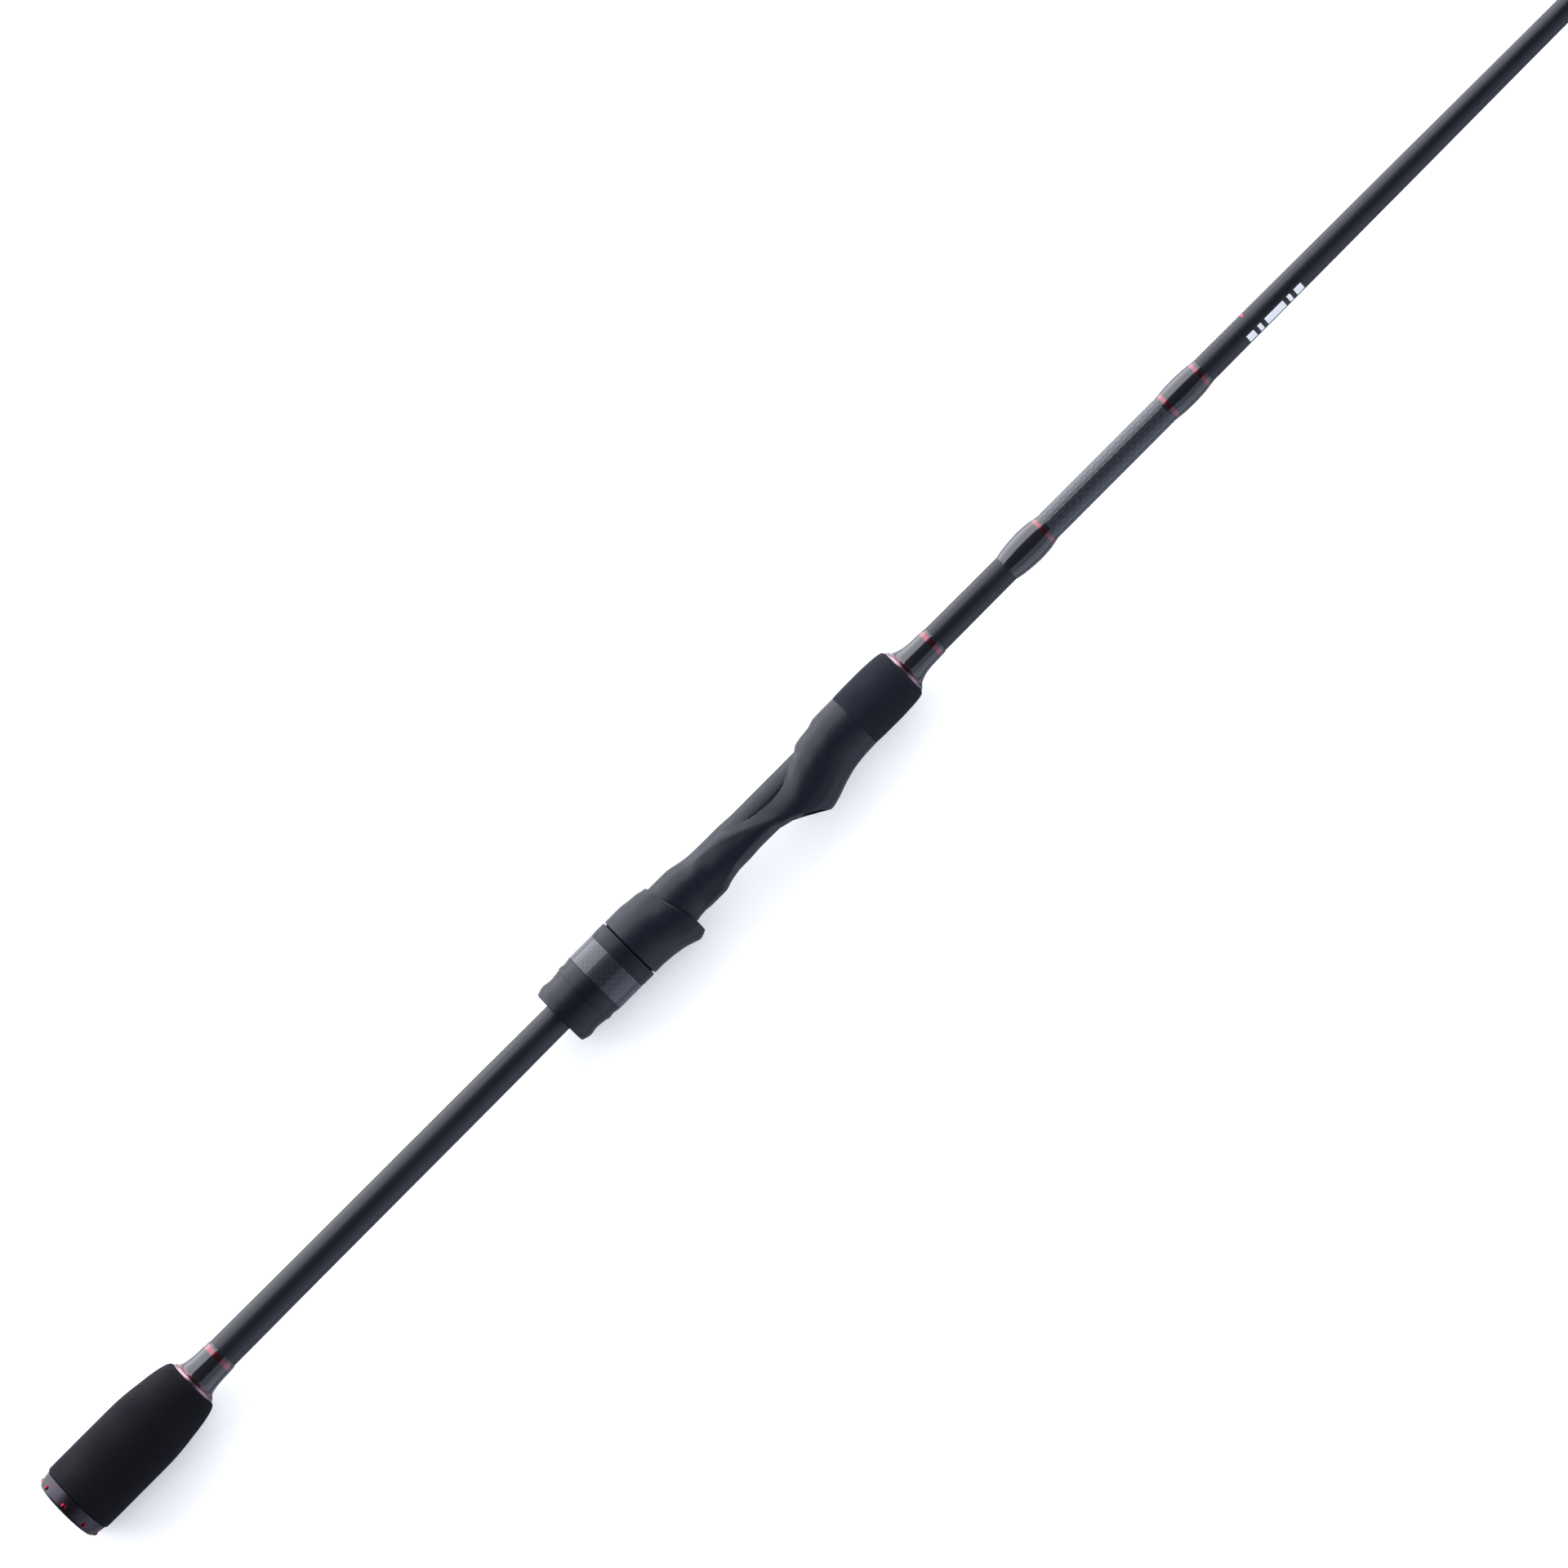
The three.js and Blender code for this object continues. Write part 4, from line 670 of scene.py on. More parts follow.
BED = -9.8
BODY = [
    (294.0, ring(SEAT_Y, 9.8)),
    (296.6, ring(SEAT_Y, 9.8)),
    (298.4, ring(SEAT_Y, 9.8, BED)),
    (300.2, ring(SEAT_Y, 9.72, BED)),
    (303, [[8.6, 0], [7.4, 4.9], [5.9, 6.9], [3.8, 8.4], [0.5, 9.5], [-4.6, 8.9], [-8.2, 6.8], [BED, 6.0], [BED, 0]]),
    (306, [[7.6, 0], [6.3, 4.5], [5.6, 6.2], [4.6, 7.4], [2.5, 8.9], [-4.0, 9.1], [-8.3, 6.9], [BED, 6.1], [BED, 0]]),
    (309.5, [[6.6, 0], [5.2, 4.0], [5.3, 5.4], [4.9, 6.6], [4.1, 8.0], [-3.5, 9.2], [-8.4, 6.9], [BED, 6.1], [BED, 0]]),
    (314, [[6.3, 0], [5.1, 4.0], [5.1, 5.2], [4.6, 6.4], [3.8, 7.6], [-3.0, 9.2], [-7.8, 7.7], [-8.6, 4.6], [-8.8, 0]]),
    (320, [[6.2, 0], [5.0, 3.7], [4.3, 5.8], [3.9, 6.8], [2.9, 7.9], [-2.5, 9.1], [-6.5, 8.3], [-7.4, 4.6], [-7.75, 0]]),
    (326, [[6.2, 0], [5.0, 3.7], [3.0, 6.45], [2.3, 7.4], [1.0, 8.5], [-3.0, 9.1], [-6.15, 8.6], [-7.4, 4.6], [-7.8, 0]]),
    (332, [[6.2, 0], [5.0, 3.7], [1.7, 6.95], [0.4, 7.9], [-1.5, 8.9], [-4.0, 9.2], [-6.1, 8.7], [-7.4, 4.6], [-7.85, 0]]),
    (338, [[6.2, 0], [5.0, 3.7], [1.0, 7.1], [-1.5, 8.2], [-4.2, 9.2], [-5.6, 9.3], [-6.6, 8.8], [-7.5, 4.6], [-7.95, 0]]),
    (343, [[6.2, 0], [5.0, 3.7], [0.85, 7.1], [-2.5, 8.7], [-6.0, 9.6], [-8.6, 9.4], [-11.8, 8.0], [-14.6, 4.6], [-16.2, 0]]),
    (347, [[6.2, 0], [5.0, 3.7], [1.0, 7.1], [-2.3, 9.0], [-6.3, 10.0], [-9.0, 9.7], [-12.2, 8.2], [-14.9, 4.8], [-16.2, 0]]),
    (351, [[6.2, 0], [5.0, 3.7], [2.0, 6.9], [-1.0, 9.0], [-4.5, 10.2], [-8.8, 9.9], [-12.3, 8.3], [-14.9, 4.9], [-16.1, 0]]),
    (355.4, [[6.3, 0], [5.2, 3.8], [4.2, 5.8], [2.2, 8.3], [-2.0, 10.2], [-8.2, 10.0], [-12.2, 8.2], [-14.8, 4.8], [-15.9, 0]]),
    (359.4, [[6.9, 0], [6.3, 3.0], [5.9, 4.2], [4.6, 7.4], [-0.6, 10.3], [-7.4, 9.9], [-11.6, 7.9], [-13.9, 4.6], [-15.0, 0]]),
    (361.6, [[8.4, 0], [7.4, 4.2], [6.2, 6.2], [4.2, 8.2], [-0.5, 10.3], [-7.0, 9.8], [-11.1, 7.7], [-13.3, 4.4], [-14.3, 0]]),
    (364, [[8.95, 0], [8.0, 4.3], [6.6, 6.6], [4.2, 8.7], [-0.3, 10.35], [-6.6, 9.6], [-10.4, 7.4], [-12.5, 4.2], [-13.4, 0]]),
    (369, [[9.55, 0], [8.6, 4.6], [6.9, 7.1], [4.3, 9.1], [-0.1, 10.45], [-6.0, 9.2], [-9.3, 6.8], [-11.1, 3.8], [-11.95, 0]]),
    (372.4, ring(0, 10.5, -11.3)),
    (377, ring(0, 10.6, -10.85)),
    (382.4, ring(0, 10.6, -10.65)),
    (386, ring(0, 10.6, -10.6)),
]
HOOD = [
    (271.8, ring(SEAT_Y, 12.15)),
    (277, ring(SEAT_Y, 12.15)),
    (280, ring(SEAT_Y, 12.15, -12.85)),
    (284.6, [[11.1, 0], [9.6, 6.1], [7.3, 8.9], [4.0, 10.9], [-0.7, 12.0], [-6.6, 11.0], [-10.2, 8.6], [-12.6, 4.4], [-13.4, 0]]),
    (287.4, [[10.85, 0], [9.4, 6.0], [7.2, 8.5], [4.0, 10.3], [-0.9, 11.7], [-7.2, 10.9], [-10.8, 8.6], [-13.2, 4.6], [-13.95, 0]]),
    (290.1, [[10.25, 0], [8.9, 5.7], [6.9, 8.1], [3.9, 9.75], [-1.0, 11.35], [-7.8, 10.7], [-11.6, 8.5], [-14.0, 4.8], [-14.8, 0]]),
    (292.9, [[10.0, 0], [8.7, 5.6], [6.8, 7.9], [3.9, 9.5], [-1.0, 11.1], [-8.2, 10.6], [-12.1, 8.5], [-14.7, 5.0], [-15.6, 0]]),
    (294.3, [[9.9, 0], [8.6, 5.5], [6.7, 7.85], [3.9, 9.5], [-1.0, 11.0], [-8.2, 10.5], [-12.0, 8.4], [-14.5, 4.9], [-15.3, 0]]),
    (297, [[9.8, 0], [8.5, 5.4], [6.6, 7.8], [3.8, 9.5], [-1.0, 10.9], [-8.0, 10.4], [-11.6, 8.2], [-13.7, 4.8], [-14.4, 0]]),
]


def smoothstep(a, b_, x):
    t = np.clip((x - a) / (b_ - a), 0, 1)
    return t * t * (3 - 2 * t)


def outlines(sections, xs_, corners, sub=8):
    """Closed outlines [slice, point, (y, z)]. corners[j](x) is how sharp point j is, from 0 to 1."""
    X = np.array([s[0] for s in sections], float)
    P = np.array([s[1] for s in sections], float).reshape(len(sections), -1)
    H = pchip(X, P, xs_).reshape(len(xs_), -1, 2)
    mir = H[:, 1:-1][:, ::-1] * np.array([1, -1])
    C = np.concatenate([H, mir], axis=1)
    n = C.shape[1]
    half = H.shape[1]
    sharp = np.zeros((len(xs_), n))
    for j, fn in corners.items():
        sharp[:, j] = fn(xs_)
        if 0 < j < half - 1:
            sharp[:, n - j] = sharp[:, j]
    prev, nxt = np.roll(C, 1, 1), np.roll(C, -1, 1)
    din, dout = C - prev, nxt - C
    lin = np.linalg.norm(din, axis=2, keepdims=True)
    lout = np.linalg.norm(dout, axis=2, keepdims=True)
    cr = (din / lin * lout + dout / lout * lin) / (lin + lout)
    s = sharp[:, :, None]
    tin = (1 - s) * cr + s * din / lin
    tout = (1 - s) * cr + s * dout / lout
    out = []
    for k in range(sub):
        t = k / sub
        h00, h10, h01, h11 = 2 * t**3 - 3 * t**2 + 1, t**3 - 2 * t**2 + t, -2 * t**3 + 3 * t**2, t**3 - t**2
        out.append(h00 * C + h10 * lout * tout + h01 * nxt + h11 * lout * np.roll(tin, -1, 1))
    return np.stack(out, axis=2).reshape(len(xs_), n * sub, 2)


def section_field(poly, ys_, zs_):
    """Signed distance in each slice, from a closed outline [slice, point, (y, z)]."""
    Y = ys_[None, :, None].astype(np.float32)
    Z = zs_[None, None, :].astype(np.float32)
    poly = poly.astype(np.float32)
    nxt = np.roll(poly, -1, 1)
    best = np.full((len(poly), len(ys_), len(zs_)), 1e9, np.float32)
    inside = np.zeros(best.shape, bool)
    for j in range(poly.shape[1]):
        ay, az = poly[:, j, 0][:, None, None], poly[:, j, 1][:, None, None]
        by, bz = nxt[:, j, 0][:, None, None], nxt[:, j, 1][:, None, None]
        ey, ez = by - ay, bz - az
        wy, wz = Y - ay, Z - az
        t = np.clip((wy * ey + wz * ez) / np.maximum(ey * ey + ez * ez, 1e-12), 0, 1)
        np.minimum(best, (wy - t * ey) ** 2 + (wz - t * ez) ** 2, out=best)
        safe = np.where(np.abs(ez) < 1e-9, 1e-9, ez)
        inside ^= ((az <= Z) != (bz <= Z)) & (wy < ey * wz / safe)
    d = np.sqrt(best)
    return np.where(inside, -d, d)


def polygon_field(points, xs_, ys_):
    """Signed distance to a closed (x, y) outline on a grid."""
    p = np.array(points, float)[None]
    return section_field(p, xs_, ys_)[0]


def blur(f, sigma):
    """Gaussian blur, in voxels; the first z plane is the mirror plane."""
    r = max(1, int(math.ceil(sigma * 2.5)))
    k = np.exp(-0.5 * (np.arange(-r, r + 1) / sigma) ** 2)
    k = (k / k.sum()).astype(np.float32)
    for ax in range(3):
        pad = [(0, 0)] * 3
        pad[ax] = (r, r)
        if ax == 2:
            lo = f[:, :, 1:r + 1][:, :, ::-1]
            g = np.concatenate([lo, f, np.repeat(f[:, :, -1:], r, 2)], 2)
        else:
            g = np.pad(f, pad, mode="edge")
        n = f.shape[ax]
        acc = 0
        for i, w in enumerate(k):
            sl = [slice(None)] * 3
            sl[ax] = slice(i, i + n)
            acc = acc + w * g[tuple(sl)]
        f = acc
    return f


def smax(a, b_, k):
    return np.maximum(a, b_) + np.maximum(k - np.abs(a - b_), 0) ** 2 / (4 * k)


def smin(a, b_, k):
    return -smax(-a, -b_, k)


def skin(field, origin, h):
    """The zero surface of a field as points (mm) and faces."""
    field = np.clip(field, -3 * h, 3 * h).astype(np.float32)
    g = vdb.FloatGrid(3 * h)
    g.copyFromArray(np.ascontiguousarray(field))
    g.transform = vdb.createLinearTransform(voxelSize=h)
    pts, tris, quads = g.convertToPolygons(isovalue=0.0, adaptivity=0.0)
    pts = np.asarray(pts, float) + np.asarray(origin, float)
    faces = [tuple(map(int, q)) for q in quads] + [tuple(map(int, t)) for t in tris]
    q = np.asarray(quads, int)
    a, b_, c, d = (pts[q[:, i]] for i in range(4))
    vol = (np.einsum("ij,ij->i", a, np.cross(b_, c)) + np.einsum("ij,ij->i", a, np.cross(c, d))).sum()
    if vol < 0:
        faces = [f[::-1] for f in faces]
    return pts, faces


def pocket_field(X, Y, Z, x0, top0, x1, top1, floor_y, half0, half1, p=2.3):
    """An arched pocket below floor_y, tapering from x0 to x1."""
    t = np.clip((X - x0) / (x1 - x0), 0, 1)
    H = floor_y - (top0 + (top1 - top0) * t)
    W = half0 + (half1 - half0) * t
    a, b_ = np.clip(floor_y - Y, 0, None) / H, np.abs(Z) / W
    norm = (a**p + b_**p) ** (1 / p)
    f = (norm - 1) * np.minimum(H, W)
    f = np.maximum(f, Y - floor_y)
    return np.maximum(np.maximum(f, x0 - X), X - x1).astype(np.float32)


def grid(x0, x1, y0, y1, z1, h):
    xs_, ys_, zs_ = np.arange(x0, x1 + h, h), np.arange(y0, y1 + h, h), np.arange(0, z1 + h, h)
    X, Y, Z = np.meshgrid(xs_, ys_, zs_, indexing="ij", sparse=True)
    return xs_, ys_, zs_, X.astype(np.float32), Y.astype(np.float32), Z.astype(np.float32)


def both_sides(f):
    return np.concatenate([f[:, :, :0:-1], f], axis=2)


# ---- the skeleton body
h = 0.3
xs_, ys_, zs_, X, Y, Z = grid(239.4, 406.0, -17.5, 12.0, 12.0, h)
sel = (xs_ >= 294.0) & (xs_ <= 385.6)
ridge = lambda x: smoothstep(305, 314, x) * (1 - smoothstep(338, 347, x))
rim = lambda x: smoothstep(298, 304, x) * (1 - smoothstep(356, 368, x))
poly = outlines(BODY, xs_[sel], {2: lambda x: smoothstep(306, 312, x) * (1 - smoothstep(356, 361, x)), 4: ridge, 6: rim, 7: lambda x: smoothstep(298, 300, x) * (1 - smoothstep(309, 314, x))})
body = np.full((len(xs_), len(ys_), len(zs_)), 9.0, np.float32)
body[sel] = section_field(poly, ys_, zs_)
rs = np.sqrt((Y - SEAT_Y) ** 2 + Z**2)
r0 = np.sqrt(Y**2 + Z**2)
barrel = smax(smax(rs - 9.8, 275.5 - X, 0.5), X - 296.0, 0.01)
nose = smax(smax(r0 - 8.5, X - 404.9, 0.4), 380.0 - X, 0.01)
body = np.minimum(body, barrel)
body = blur(body, 1.15)
# it runs into the tube with a long fillet behind the window, and a short one in front
fillet = 2.8 * (1 - smoothstep(322, 334, X)) + 0.15
body = np.where(X > 300, smin(body, r0 - 7.04, fillet), body)
mouth = polygon_field([[338.2, -20], [356.4, -20], [355.7, -16.3], [354, -15.1], [351.2, -13.3], [348.5, -11.6], [345.7, -10.0], [342.9, -8.6], [340.2, -8.0], [338.2, -7.9]], xs_, ys_)[:, :, None]
body = smax(body, -mouth, 0.5)
body = smax(body, -pocket_field(X, Y, Z, 344.6, -17.0, 363.6, -12.1, BED, 7.8, 6.2), 0.5)
body = blur(body, 0.7)
body = np.minimum(np.maximum(body, X - 381.95), nose)
# the shadow line where each wall leaves the tube in the window
line = np.array([[329.5, 2.35], [333.5, 1.3], [338.0, 0.75], [342.8, 0.5], [346.2, 0.75], [349.0, 1.3], [351.2, 2.35], [353.4, 3.5]])
lx = np.linspace(line[0, 0], line[-1, 0], 34)
ly = pchip(line[:, 0], line[:, 1], lx)
lz = np.sqrt(7.12**2 - ly**2)
cut = (xs_ > 328) & (xs_ < 355)
groove = np.full(body[cut].shape, 9.0, np.float32)
for px, py, pz, u in zip(lx, ly, lz, np.linspace(0, 1, 34)):
    rad = 0.1 + 0.34 * math.sin(math.pi * u) ** 0.6
    groove = np.minimum(groove, np.sqrt((X[cut] - px) ** 2 + (Y - py) ** 2 + (Z - pz) ** 2) - rad)
body[cut] = smax(body[cut], -groove, 0.12)
key_slot = np.maximum(np.maximum(7.6 - Y, Z - 1.5), X - 304.6)
body = smax(body, -key_slot, 0.25)
body = both_sides(body)
Zf = np.concatenate([-Z[:, :, :0:-1], Z], axis=2)
rs = np.sqrt((Y - SEAT_Y) ** 2 + Zf**2)
theta = np.arctan2(Zf, Y - SEAT_Y)
turn_ = (X - 235.0) / 2.5 - theta / (2 * math.pi)
tri = 1 - np.abs(2 * (turn_ - np.floor(turn_)) - 1)
ridge_r = 8.5 + 0.8 * smoothstep(0.0, 1.0, np.clip(tri * 1.5 - 0.25, 0, 1))
ridge_r = np.minimum(ridge_r, 8.4 + (X - 240.2) * 1.0)
thread = np.maximum(np.maximum((rs - ridge_r) * 0.85, 240.2 - X), X - 276.2)
thread = smax(thread, -np.maximum(7.6 - Y, np.abs(Zf) - 1.5), 0.25)
body = np.minimum(body, thread.astype(np.float32))
bore = 6.9 - 0.9 * smoothstep(312, 318, X) * (1 - smoothstep(366, 372, X))
body = np.maximum(body, bore - np.sqrt(Y**2 + Zf**2))
pts, faces = skin(body, (xs_[0], ys_[0], -zs_[-1]), h)
add("seat_body", pts, faces, MAT["seat_resin"], replaces="seat_body", slot="seat_resin", sharp=None)

# ---- the sliding hood
h = 0.25
xs_, ys_, zs_, X, Y, Z = grid(263.6, 298.0, -17.0, 12.8, 13.0, h)
sel = (xs_ >= 271.8) & (xs_ <= 297.0)
poly = outlines(HOOD, xs_[sel], {6: lambda x: 0.5 * smoothstep(284, 290, x)})
hood = np.full((len(xs_), len(ys_), len(zs_)), 9.0, np.float32)
hood[sel] = section_field(poly, ys_, zs_)
hood = smax(hood, 273.3 - X, 0.4)
front = polygon_field([[291.0, 16], [291.4, 10], [292.2, 6], [293.2, 1], [294.2, -3], [295.1, -6.5], [295.8, -9.6], [295.75, -14.2], [293.0, -15.6], [291.6, -20], [305, -20], [305, 16]], xs_, ys_)[:, :, None]
hood = smax(hood, -front, 0.5)
rs = np.sqrt((Y - SEAT_Y) ** 2 + Z**2)
tail = smax(smax(rs - 10.9, 264.6 - X, 0.3), X - 275.0, 0.01)
rib = smax(rs - 11.2, np.abs(X - 265.4) - 0.6, 0.3)
hood = np.minimum(hood, np.minimum(tail, rib))
hood = blur(hood, 0.9)
hood = smax(hood, 10.1 - rs, 0.25)
hood = smax(hood, -pocket_field(X, Y, Z, 283.5, -11.7, 299.0, -14.4, -6.2, 8.3, 8.6), 0.5)
hood = np.minimum(hood, np.maximum(np.maximum(np.abs(X - 282.5) - 5.5, Z - 1.25), np.maximum(8.2 - Y, Y - 10.8)))
pts, faces = skin(both_sides(hood), (xs_[0], ys_[0], -zs_[-1]), h)
add("sliding_hood", pts, faces, MAT["seat_resin"], body="hood", replaces="sliding_hood", slot="seat_resin", sharp=None)

# ---- the nut, with the thread's counterpart inside
n_a = 144
out_pts = curve([[239.6, 10.6], [239.9, 10.85], [240.8, 11.2], [241.8, 11.48], [243.3, 11.68], [244.6, 11.45], [246.2, 11.25], [248.0, 11.38], [250.3, 11.66]], 0.3)
out_pts += [[250.34, 11.52], [250.52, 11.52], [250.58, 11.78]]
out_pts += curve([[250.6, 11.8], [251.2, 12.0], [251.8, 12.06], [252.6, 11.9], [253.6, 11.8], [254.6, 11.92], [255.8, 12.14], [256.22, 12.2]], 0.25)
out_pts += [[256.34, 12.1], [256.36, 11.78], [272.75, 11.78], [272.85, 11.65]]
in_x = np.linspace(255.5, 243.7, 100)
rows = [np.full((n_a, 2), p) for p in out_pts]
rows += [np.full((n_a, 2), p) for p in ([272.85, 11.08], [269.75, 11.05], [269.5, 11.35], [264.2, 11.35], [264.2, 10.15], [255.6, 10.15])]
al = np.arange(n_a) * 2 * math.pi / n_a
for x in in_x:
    t = (x - 235.0) / 2.5 - al / (2 * math.pi)
    w = 1 - np.abs(2 * (t - np.floor(t)) - 1)
    rows.append(np.c_[np.full(n_a, x), 8.92 + 0.85 * smoothstep(0, 1, w)])
rows += [np.full((n_a, 2), p) for p in ([243.6, 9.85], [239.75, 9.85], [239.6, 10.0])]
G = np.array(rows)
verts = np.c_[G[:, :, 0].ravel(), (SEAT_Y + G[:, :, 1] * np.cos(al)).ravel(), (G[:, :, 1] * np.sin(al)).ravel()]
idx = np.arange(len(rows) * n_a).reshape(len(rows), n_a).tolist()
faces = [(A[k], B[k], B[j], A[j]) for A, B in zip(idx, idx[1:] + idx[:1]) for j, k in zip(range(n_a), list(range(1, n_a)) + [0])]
add("nut_core", verts, faces, MAT["nut_resin"], body="nut", replaces="nut_core", slot="seat_resin", sharp=38)
revolve("nut_carbon_ring", rounded([[256.42, 11.8], [256.42, 12.2, 0.12], [267.05, 12.2, 0.12], [267.05, 11.8]]), MAT["nut_weave"], 160, SEAT_Y, "nut", "nut_carbon_ring", "woven_carbon")
revolve("nut_front_ring", rounded([[267.12, 11.8], [267.12, 12.14, 0.08], [268.12, 12.14], [268.2, 12.26, 0.08], [272.45, 12.26, 0.4], [272.82, 12.0, 0.15], [272.82, 11.8]]), MAT["trim_ring_plastic"], 160, SEAT_Y, "nut", "nut_front_ring", "trim_ring_plastic")

# ------------------------------------------------------------------ line guides, on the reel side
def sweep(points, widths, depths, sides, n=16, power=2.0, steps=10):
    """A closed bar along points. widths lie along the side vectors, depths across; power above 2 squares the section."""
    P, W, D, S = (np.asarray(a, float) for a in (points, widths, depths, sides))
    seg = np.linalg.norm(np.diff(P, axis=0), axis=1)
    t = np.r_[0, np.cumsum(seg)]
    q = np.linspace(0, t[-1], steps * (len(P) - 1) + 1)

    def smooth(V):
        out = np.empty((len(q), V.shape[1]))
        m_ = np.gradient(V, t, axis=0)
        i = np.clip(np.searchsorted(t, q) - 1, 0, len(t) - 2)
        hh = (t[i + 1] - t[i])[:, None]
        u = ((q - t[i]) / hh[:, 0])[:, None]
        return (2 * u**3 - 3 * u**2 + 1) * V[i] + (u**3 - 2 * u**2 + u) * hh * m_[i] + (3 * u**2 - 2 * u**3) * V[i + 1] + (u**3 - u**2) * hh * m_[i + 1]

    C, S2 = smooth(P), smooth(S)
    WW, DD = np.interp(q, t, W), np.interp(q, t, D)
    T = np.gradient(C, q, axis=0)
    T /= np.linalg.norm(T, axis=1, keepdims=True)
    S2 -= T * (S2 * T).sum(1, keepdims=True)
    S2 /= np.linalg.norm(S2, axis=1, keepdims=True)
    N = np.cross(T, S2)
    a = np.arange(n) * 2 * math.pi / n
    ca, sa = np.cos(a), np.sin(a)
    ca, sa = np.sign(ca) * np.abs(ca) ** (2 / power), np.sign(sa) * np.abs(sa) ** (2 / power)
    rings, first = [], None
    ends = ((0.0, 0.35, -0.32), (0.0, 0.75, -0.2))
    def loop(k, scale, shift):
        c = C[k] + T[k] * shift * DD[k]
        return c + scale * (WW[k] / 2 * ca[:, None] * S2[k] + DD[k] / 2 * sa[:, None] * N[k])
    rings = [loop(0, 0.35, -0.42), loop(0, 0.75, -0.28)] + [loop(k, 1, 0) for k in range(len(q))] + [loop(-1, 0.75, 0.28), loop(-1, 0.35, 0.42)]
    verts = np.concatenate(rings)
    faces = []
    for r in range(len(rings) - 1):
        for j in range(n):
            k = (j + 1) % n
            faces.append((r * n + j, r * n + k, (r + 1) * n + k, (r + 1) * n + j))
    faces.append(tuple(range(n))[::-1])
    last = (len(rings) - 1) * n
    faces.append(tuple(range(last, last + n)))
    v = verts
    vol = sum(np.dot(v[f[0]], np.cross(v[f[1]], v[f[2]])) + np.dot(v[f[0]], np.cross(v[f[2]], v[f[3]])) for f in faces[:-2])
    if vol < 0:
        faces = [f[::-1] for f in faces]
    return verts, faces


def lean(v, angle, x, y):
    c, s_ = math.cos(angle), math.sin(angle)
    v = np.asarray(v, float)
    return np.c_[v[:, 0] * c - v[:, 1] * s_ + x, v[:, 0] * s_ + v[:, 1] * c + y, v[:, 2]]


def weld(name, parts, mat, **how):
    """Joins closed parts into one skin."""
    base = raw(name + "_base", *parts[0])
    boolean(base, [raw("p", *q) for q in parts[1:]], "UNION")
    me = base.data
    v = np.array([tuple(w.co) for w in me.vertices]) / MM + (DATUM, 0, 0)
    f = [tuple(q.vertices) for q in me.polygons]
    bpy.data.objects.remove(base)
    bpy.data.meshes.remove(me)
    return add(name, v, f, mat, **how)


def guide_wrap(name, x0, x1, foot0, foot1, half_w, foot_t, r_fn, seg=72):
    """Thread and epoxy over a guide's foot: a thin skin round the blank with a hump over the foot."""
    d = 1 if x1 > x0 else -1
    L = abs(x1 - x0)
    n = max(24, int(L / 0.35))
    xs1 = x0 + d * np.linspace(0, L, n)
    al_ = np.arange(seg) * 2 * math.pi / seg
    off = np.abs((al_ - math.pi + math.pi) % (2 * math.pi) - math.pi)
    rows_ = []
    for x in xs1:
        rb = r_fn(x)
        u = abs(x - x0)
        edge_ = min(u, L - u)
        base = rb + 0.05 + 0.33 * (1 - math.exp(-edge_ / 0.7))
        h_ = (foot_t + 0.42) * float(smoothstep(0.0, 0.9, u + 0.25)) * (1 - float(smoothstep(abs(foot1 - x0) * 0.45, abs(foot1 - x0) + 1.4, u)))
        z = rb * np.sin(off)
        front_ = np.cos(al_) < 0
        dist = np.where(front_, np.abs(rb * np.sin(al_)), 9.0)
        hump = h_ * np.exp(-((dist / (half_w + 0.45)) ** 4))
        rows_.append(base + hump)
    R_ = np.array(rows_)
    A_ = np.broadcast_to(al_, R_.shape)
    X_ = np.broadcast_to(xs1[:, None], R_.shape)
    v = np.c_[X_.ravel(), (R_ * np.cos(A_)).ravel(), (R_ * np.sin(A_)).ravel()].tolist()
    for x in (xs1[-1], xs1[0]):
        rb = r_fn(x) - 0.02
        v += [(x, rb * math.cos(t), rb * math.sin(t)) for t in al_]
    m_ = n * seg
    idx_ = np.arange(m_).reshape(n, seg).tolist() + [list(range(m_, m_ + seg)), list(range(m_ + seg, m_ + 2 * seg))]
    f = []
    for A, B in zip(idx_, idx_[1:] + idx_[:1]):
        for j in range(seg):
            k = (j + 1) % seg
            q = (A[k], B[k], B[j], A[j])
            f.append(q if d > 0 else q[::-1])
    add(name, v, f, MAT["epoxy_thread"], replaces=name, slot="epoxy_thread", sharp=50)


GUIDES = [
    # station, ring outside diameter, height over the blank, ring thickness, ring width, feet, lean, foot length, foot width, foot thickness, leg
    (914, 25, 27, 1.9, 2.8, 2, 0.14, 15, 3.2, 0.8, 1.7),
    (1219, 16, 18, 1.6, 2.3, 2, 0.14, 13, 2.6, 0.7, 1.4),
    (1454, 10, 11.8, 1.25, 1.9, 1, 0.18, 12, 2.2, 0.6, 1.15),
    (1644, 7, 8, 1.05, 1.6, 1, 0.2, 10, 2.0, 0.5, 1.0),
    (1799, 6, 6.8, 0.95, 1.5, 1, 0.2, 9, 1.8, 0.45, 0.95),
    (1929, 6, 6.4, 0.95, 1.5, 1, 0.2, 9, 1.8, 0.45, 0.95),
    (2039, 6, 6.2, 0.95, 1.5, 1, 0.2, 9, 1.8, 0.45, 0.95),
]
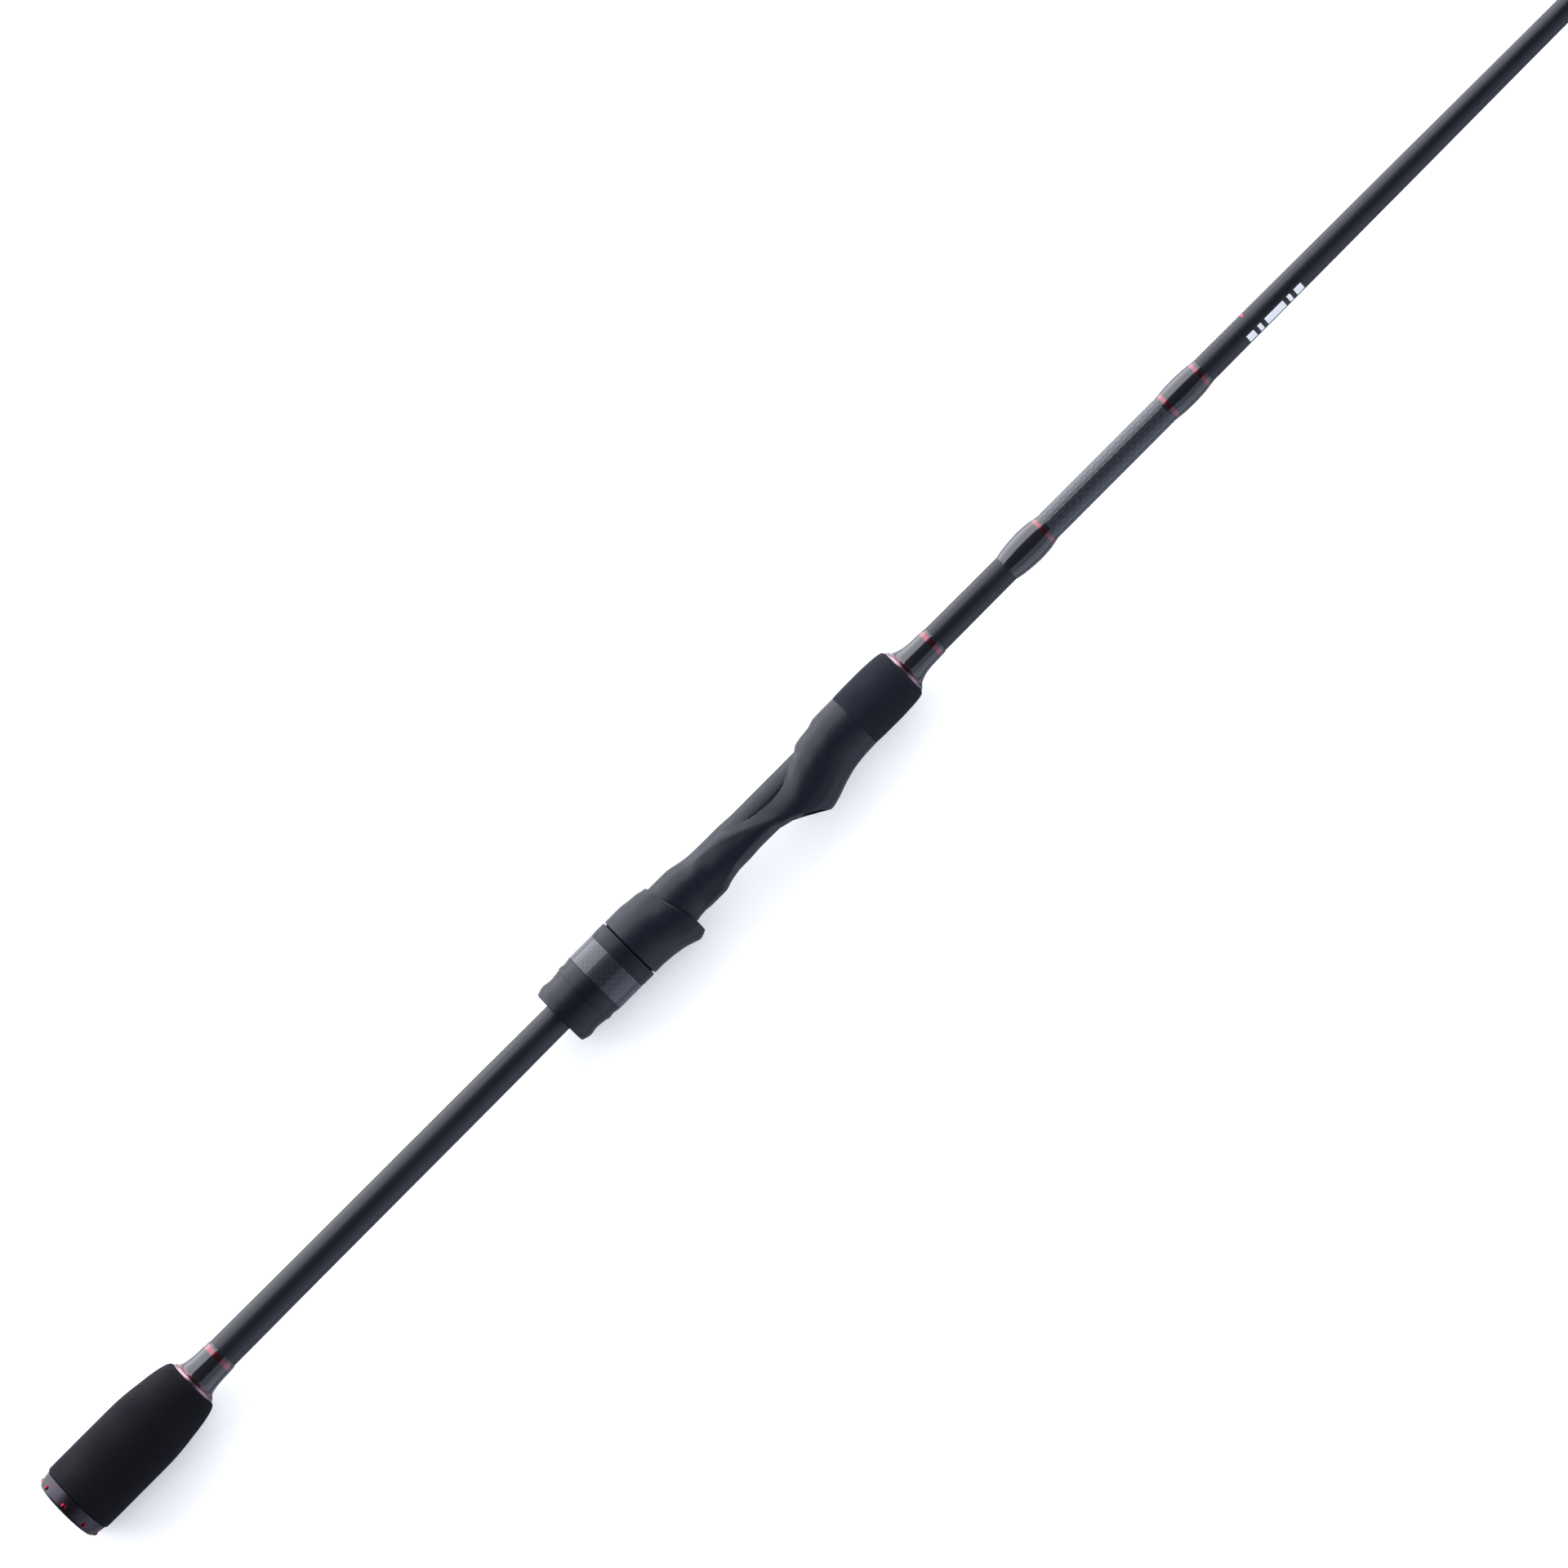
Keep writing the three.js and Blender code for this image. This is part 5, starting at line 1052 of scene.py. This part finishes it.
for k, (gx, size, gh, gt, gw, feet, gl, foot, fw, ft, wire) in enumerate(GUIDES, 1):
    R = size / 2
    cy = -(blank_r(gx) + gh)
    w = gw / 2
    insert = rounded([[-w, R], [-w, R - 0.5 * gt, 0.3 * gt], [-0.3 * w, R - gt, 0.6 * gt], [0.3 * w, R - gt, 0.6 * gt], [w, R - 0.5 * gt, 0.3 * gt], [w, R]], 5)
    v, f = spun(insert, 96 if size > 12 else 72)
    add(f"guide_{k}_ring", lean(v, gl, gx, cy), f, MAT["guide_ceramic"], replaces=f"guide_{k}_ring", slot="guide_ceramic", sharp=35)
    hw = w * 0.62
    v, f = spun(rounded([[-hw, R + 0.05], [-hw, R + 0.62, 0.2], [hw, R + 0.62, 0.2], [hw, R + 0.05]], 4), 96 if size > 12 else 72)
    parts = [(lean(v, gl, gx, cy), f)]

    def on_ring(a, r):
        y, z = r * math.cos(a), r * math.sin(a)
        return np.array([gx - y * math.sin(gl), cy + y * math.cos(gl), z])

    def legs(a, x0, d, spread):
        y_ = lambda x: -(blank_r(gx + x) + 0.08 + ft * 0.5)
        for s_ in (1, -1):
            top = on_ring(s_ * a, R + 0.34)
            low = np.array([gx + x0, y_(x0), s_ * spread])
            mid1 = top * 0.62 + low * 0.38 + np.array([0, -0.04 * gh, s_ * 0.06 * gh * math.sin(a)])
            mid2 = top * 0.2 + low * 0.8 + np.array([-d * 0.05 * gh, -0.02 * gh, 0])
            run = [top, mid1, mid2, low, np.array([gx + x0 + d * foot * 0.3, y_(x0 + d * foot * 0.3), s_ * spread * 0.8])]
            radial = on_ring(s_ * a, R + 1) - on_ring(s_ * a, R)
            side_ = [np.array([0, -radial[2], radial[1]]) * s_ * -1.0] + [np.array([0, 0, 1.0]) * 1.0] * 4
            side_[0] = np.array([0.0, radial[2], -radial[1]]) * (1 if -radial[1] > 0 else -1)
            parts.append(sweep(run, [wire * 1.15, wire * 0.95, wire * 0.95, wire, wire * 0.9], [wire * 0.6, wire * 0.62, wire * 0.66, ft * 0.9, ft * 0.8], side_))

    def make_foot(x0, d):
        st = [x0 - d * 0.3, x0 + d * foot * 0.3, x0 + d * foot * 0.75, x0 + d * foot]
        th = [ft, ft, ft * 0.62, ft * 0.22]
        run = [np.array([gx + x, -(blank_r(gx + x) + 0.05 + t_ / 2), 0.0]) for x, t_ in zip(st, th)]
        parts.append(sweep(run, [fw * 0.8, fw, fw * 0.92, fw * 0.6], th, [np.array([0, 0, 1.0])] * 4, power=3.2))

    ends_ = []
    if feet == 2:
        a_, b_ = R * 0.86, R
        make_foot(a_, 1)
        make_foot(-b_, -1)
        legs(0.62, a_, 1, fw * 0.22)
        legs(1.05, -b_, -1, fw * 0.22)
        ends_ = [(a_, 1, f"guide_{k}_wrap_front"), (-b_, -1, f"guide_{k}_wrap_rear")]
    else:
        b_ = R * 0.75 + 1.5
        make_foot(-b_, -1)
        legs(0.75, -b_, -1, fw * 0.2)
        ends_ = [(-b_, -1, f"guide_{k}_wrap")]
    weld(f"guide_{k}_frame", parts, MAT["guide_steel"], replaces=f"guide_{k}_frame", slot="guide_steel", sharp=40)
    for x0, d, nm in ends_:
        guide_wrap(nm, gx + x0 + d * 1.6, gx + x0 + d * (foot + 3.2), gx + x0, gx + x0 + d * foot, fw / 2, ft, blank_r)

# tip-top
R, gx, cy = 3.0, 2130.2, -4.3
v, f = spun(rounded([[-0.75, R], [-0.75, R - 0.48, 0.25], [-0.22, R - 0.95, 0.5], [0.22, R - 0.95, 0.5], [0.75, R - 0.48, 0.25], [0.75, R]], 5), 72)
add("tip_top_ring", lean(v, 0.25, gx, cy), f, MAT["guide_ceramic"], replaces="tip_top_ring", slot="guide_ceramic", sharp=35)
v, f = spun(rounded([[-0.5, R + 0.05], [-0.5, R + 0.52, 0.18], [0.5, R + 0.52, 0.18], [0.5, R + 0.05]], 4), 72)
parts = [(lean(v, 0.25, gx, cy), f)]
v, f = spun(rounded([[2117, 1.0], [2117, 1.32, 0.12], [2128.4, 1.2, 0.5], [2128.9, 0.5, 0.3], [2128.9, 0], [2127.4, 0], [2127.3, 0.96]], 4), 40)
parts.append((v, f))
for s_ in (1, -1):
    parts.append(sweep([(2120.5, -1.15, s_ * 0.45), (2123.5, -1.5, s_ * 0.9), (2127.0, -2.9, s_ * 2.3), (gx - 0.1, cy + 0.5, s_ * (R + 0.3))], [0.9, 0.85, 0.8, 0.85], [0.6, 0.7, 0.7, 0.55], [(0, 0.3, 1), (0, 0.3, 1), (0.2, 0.7, 0.7), (0, 1, 0.1)], n=12))
parts.append(sweep([(2125.8, -0.3, 0), (2128.0, -0.5, 0), (gx - 0.55, cy + R + 0.3, 0)], [1.2, 1.1, 0.9], [0.9, 0.85, 0.6], [(0, 0, 1)] * 3, n=12))
weld("tip_top_frame", parts, MAT["guide_steel"], replaces="tip_top_frame", slot="guide_steel", sharp=40)
revolve("tip_wrap", curve([[2108, 1.0], [2108.5, 1.22], [2109.5, 1.34], [2115.4, 1.38], [2116.3, 1.3], [2116.8, 1.1]], 0.3) + [[2116.8, 0.9], [2108, 0.9]], MAT["epoxy_thread"], 64, replaces="tip_wrap", slot="epoxy_thread", sharp=50)
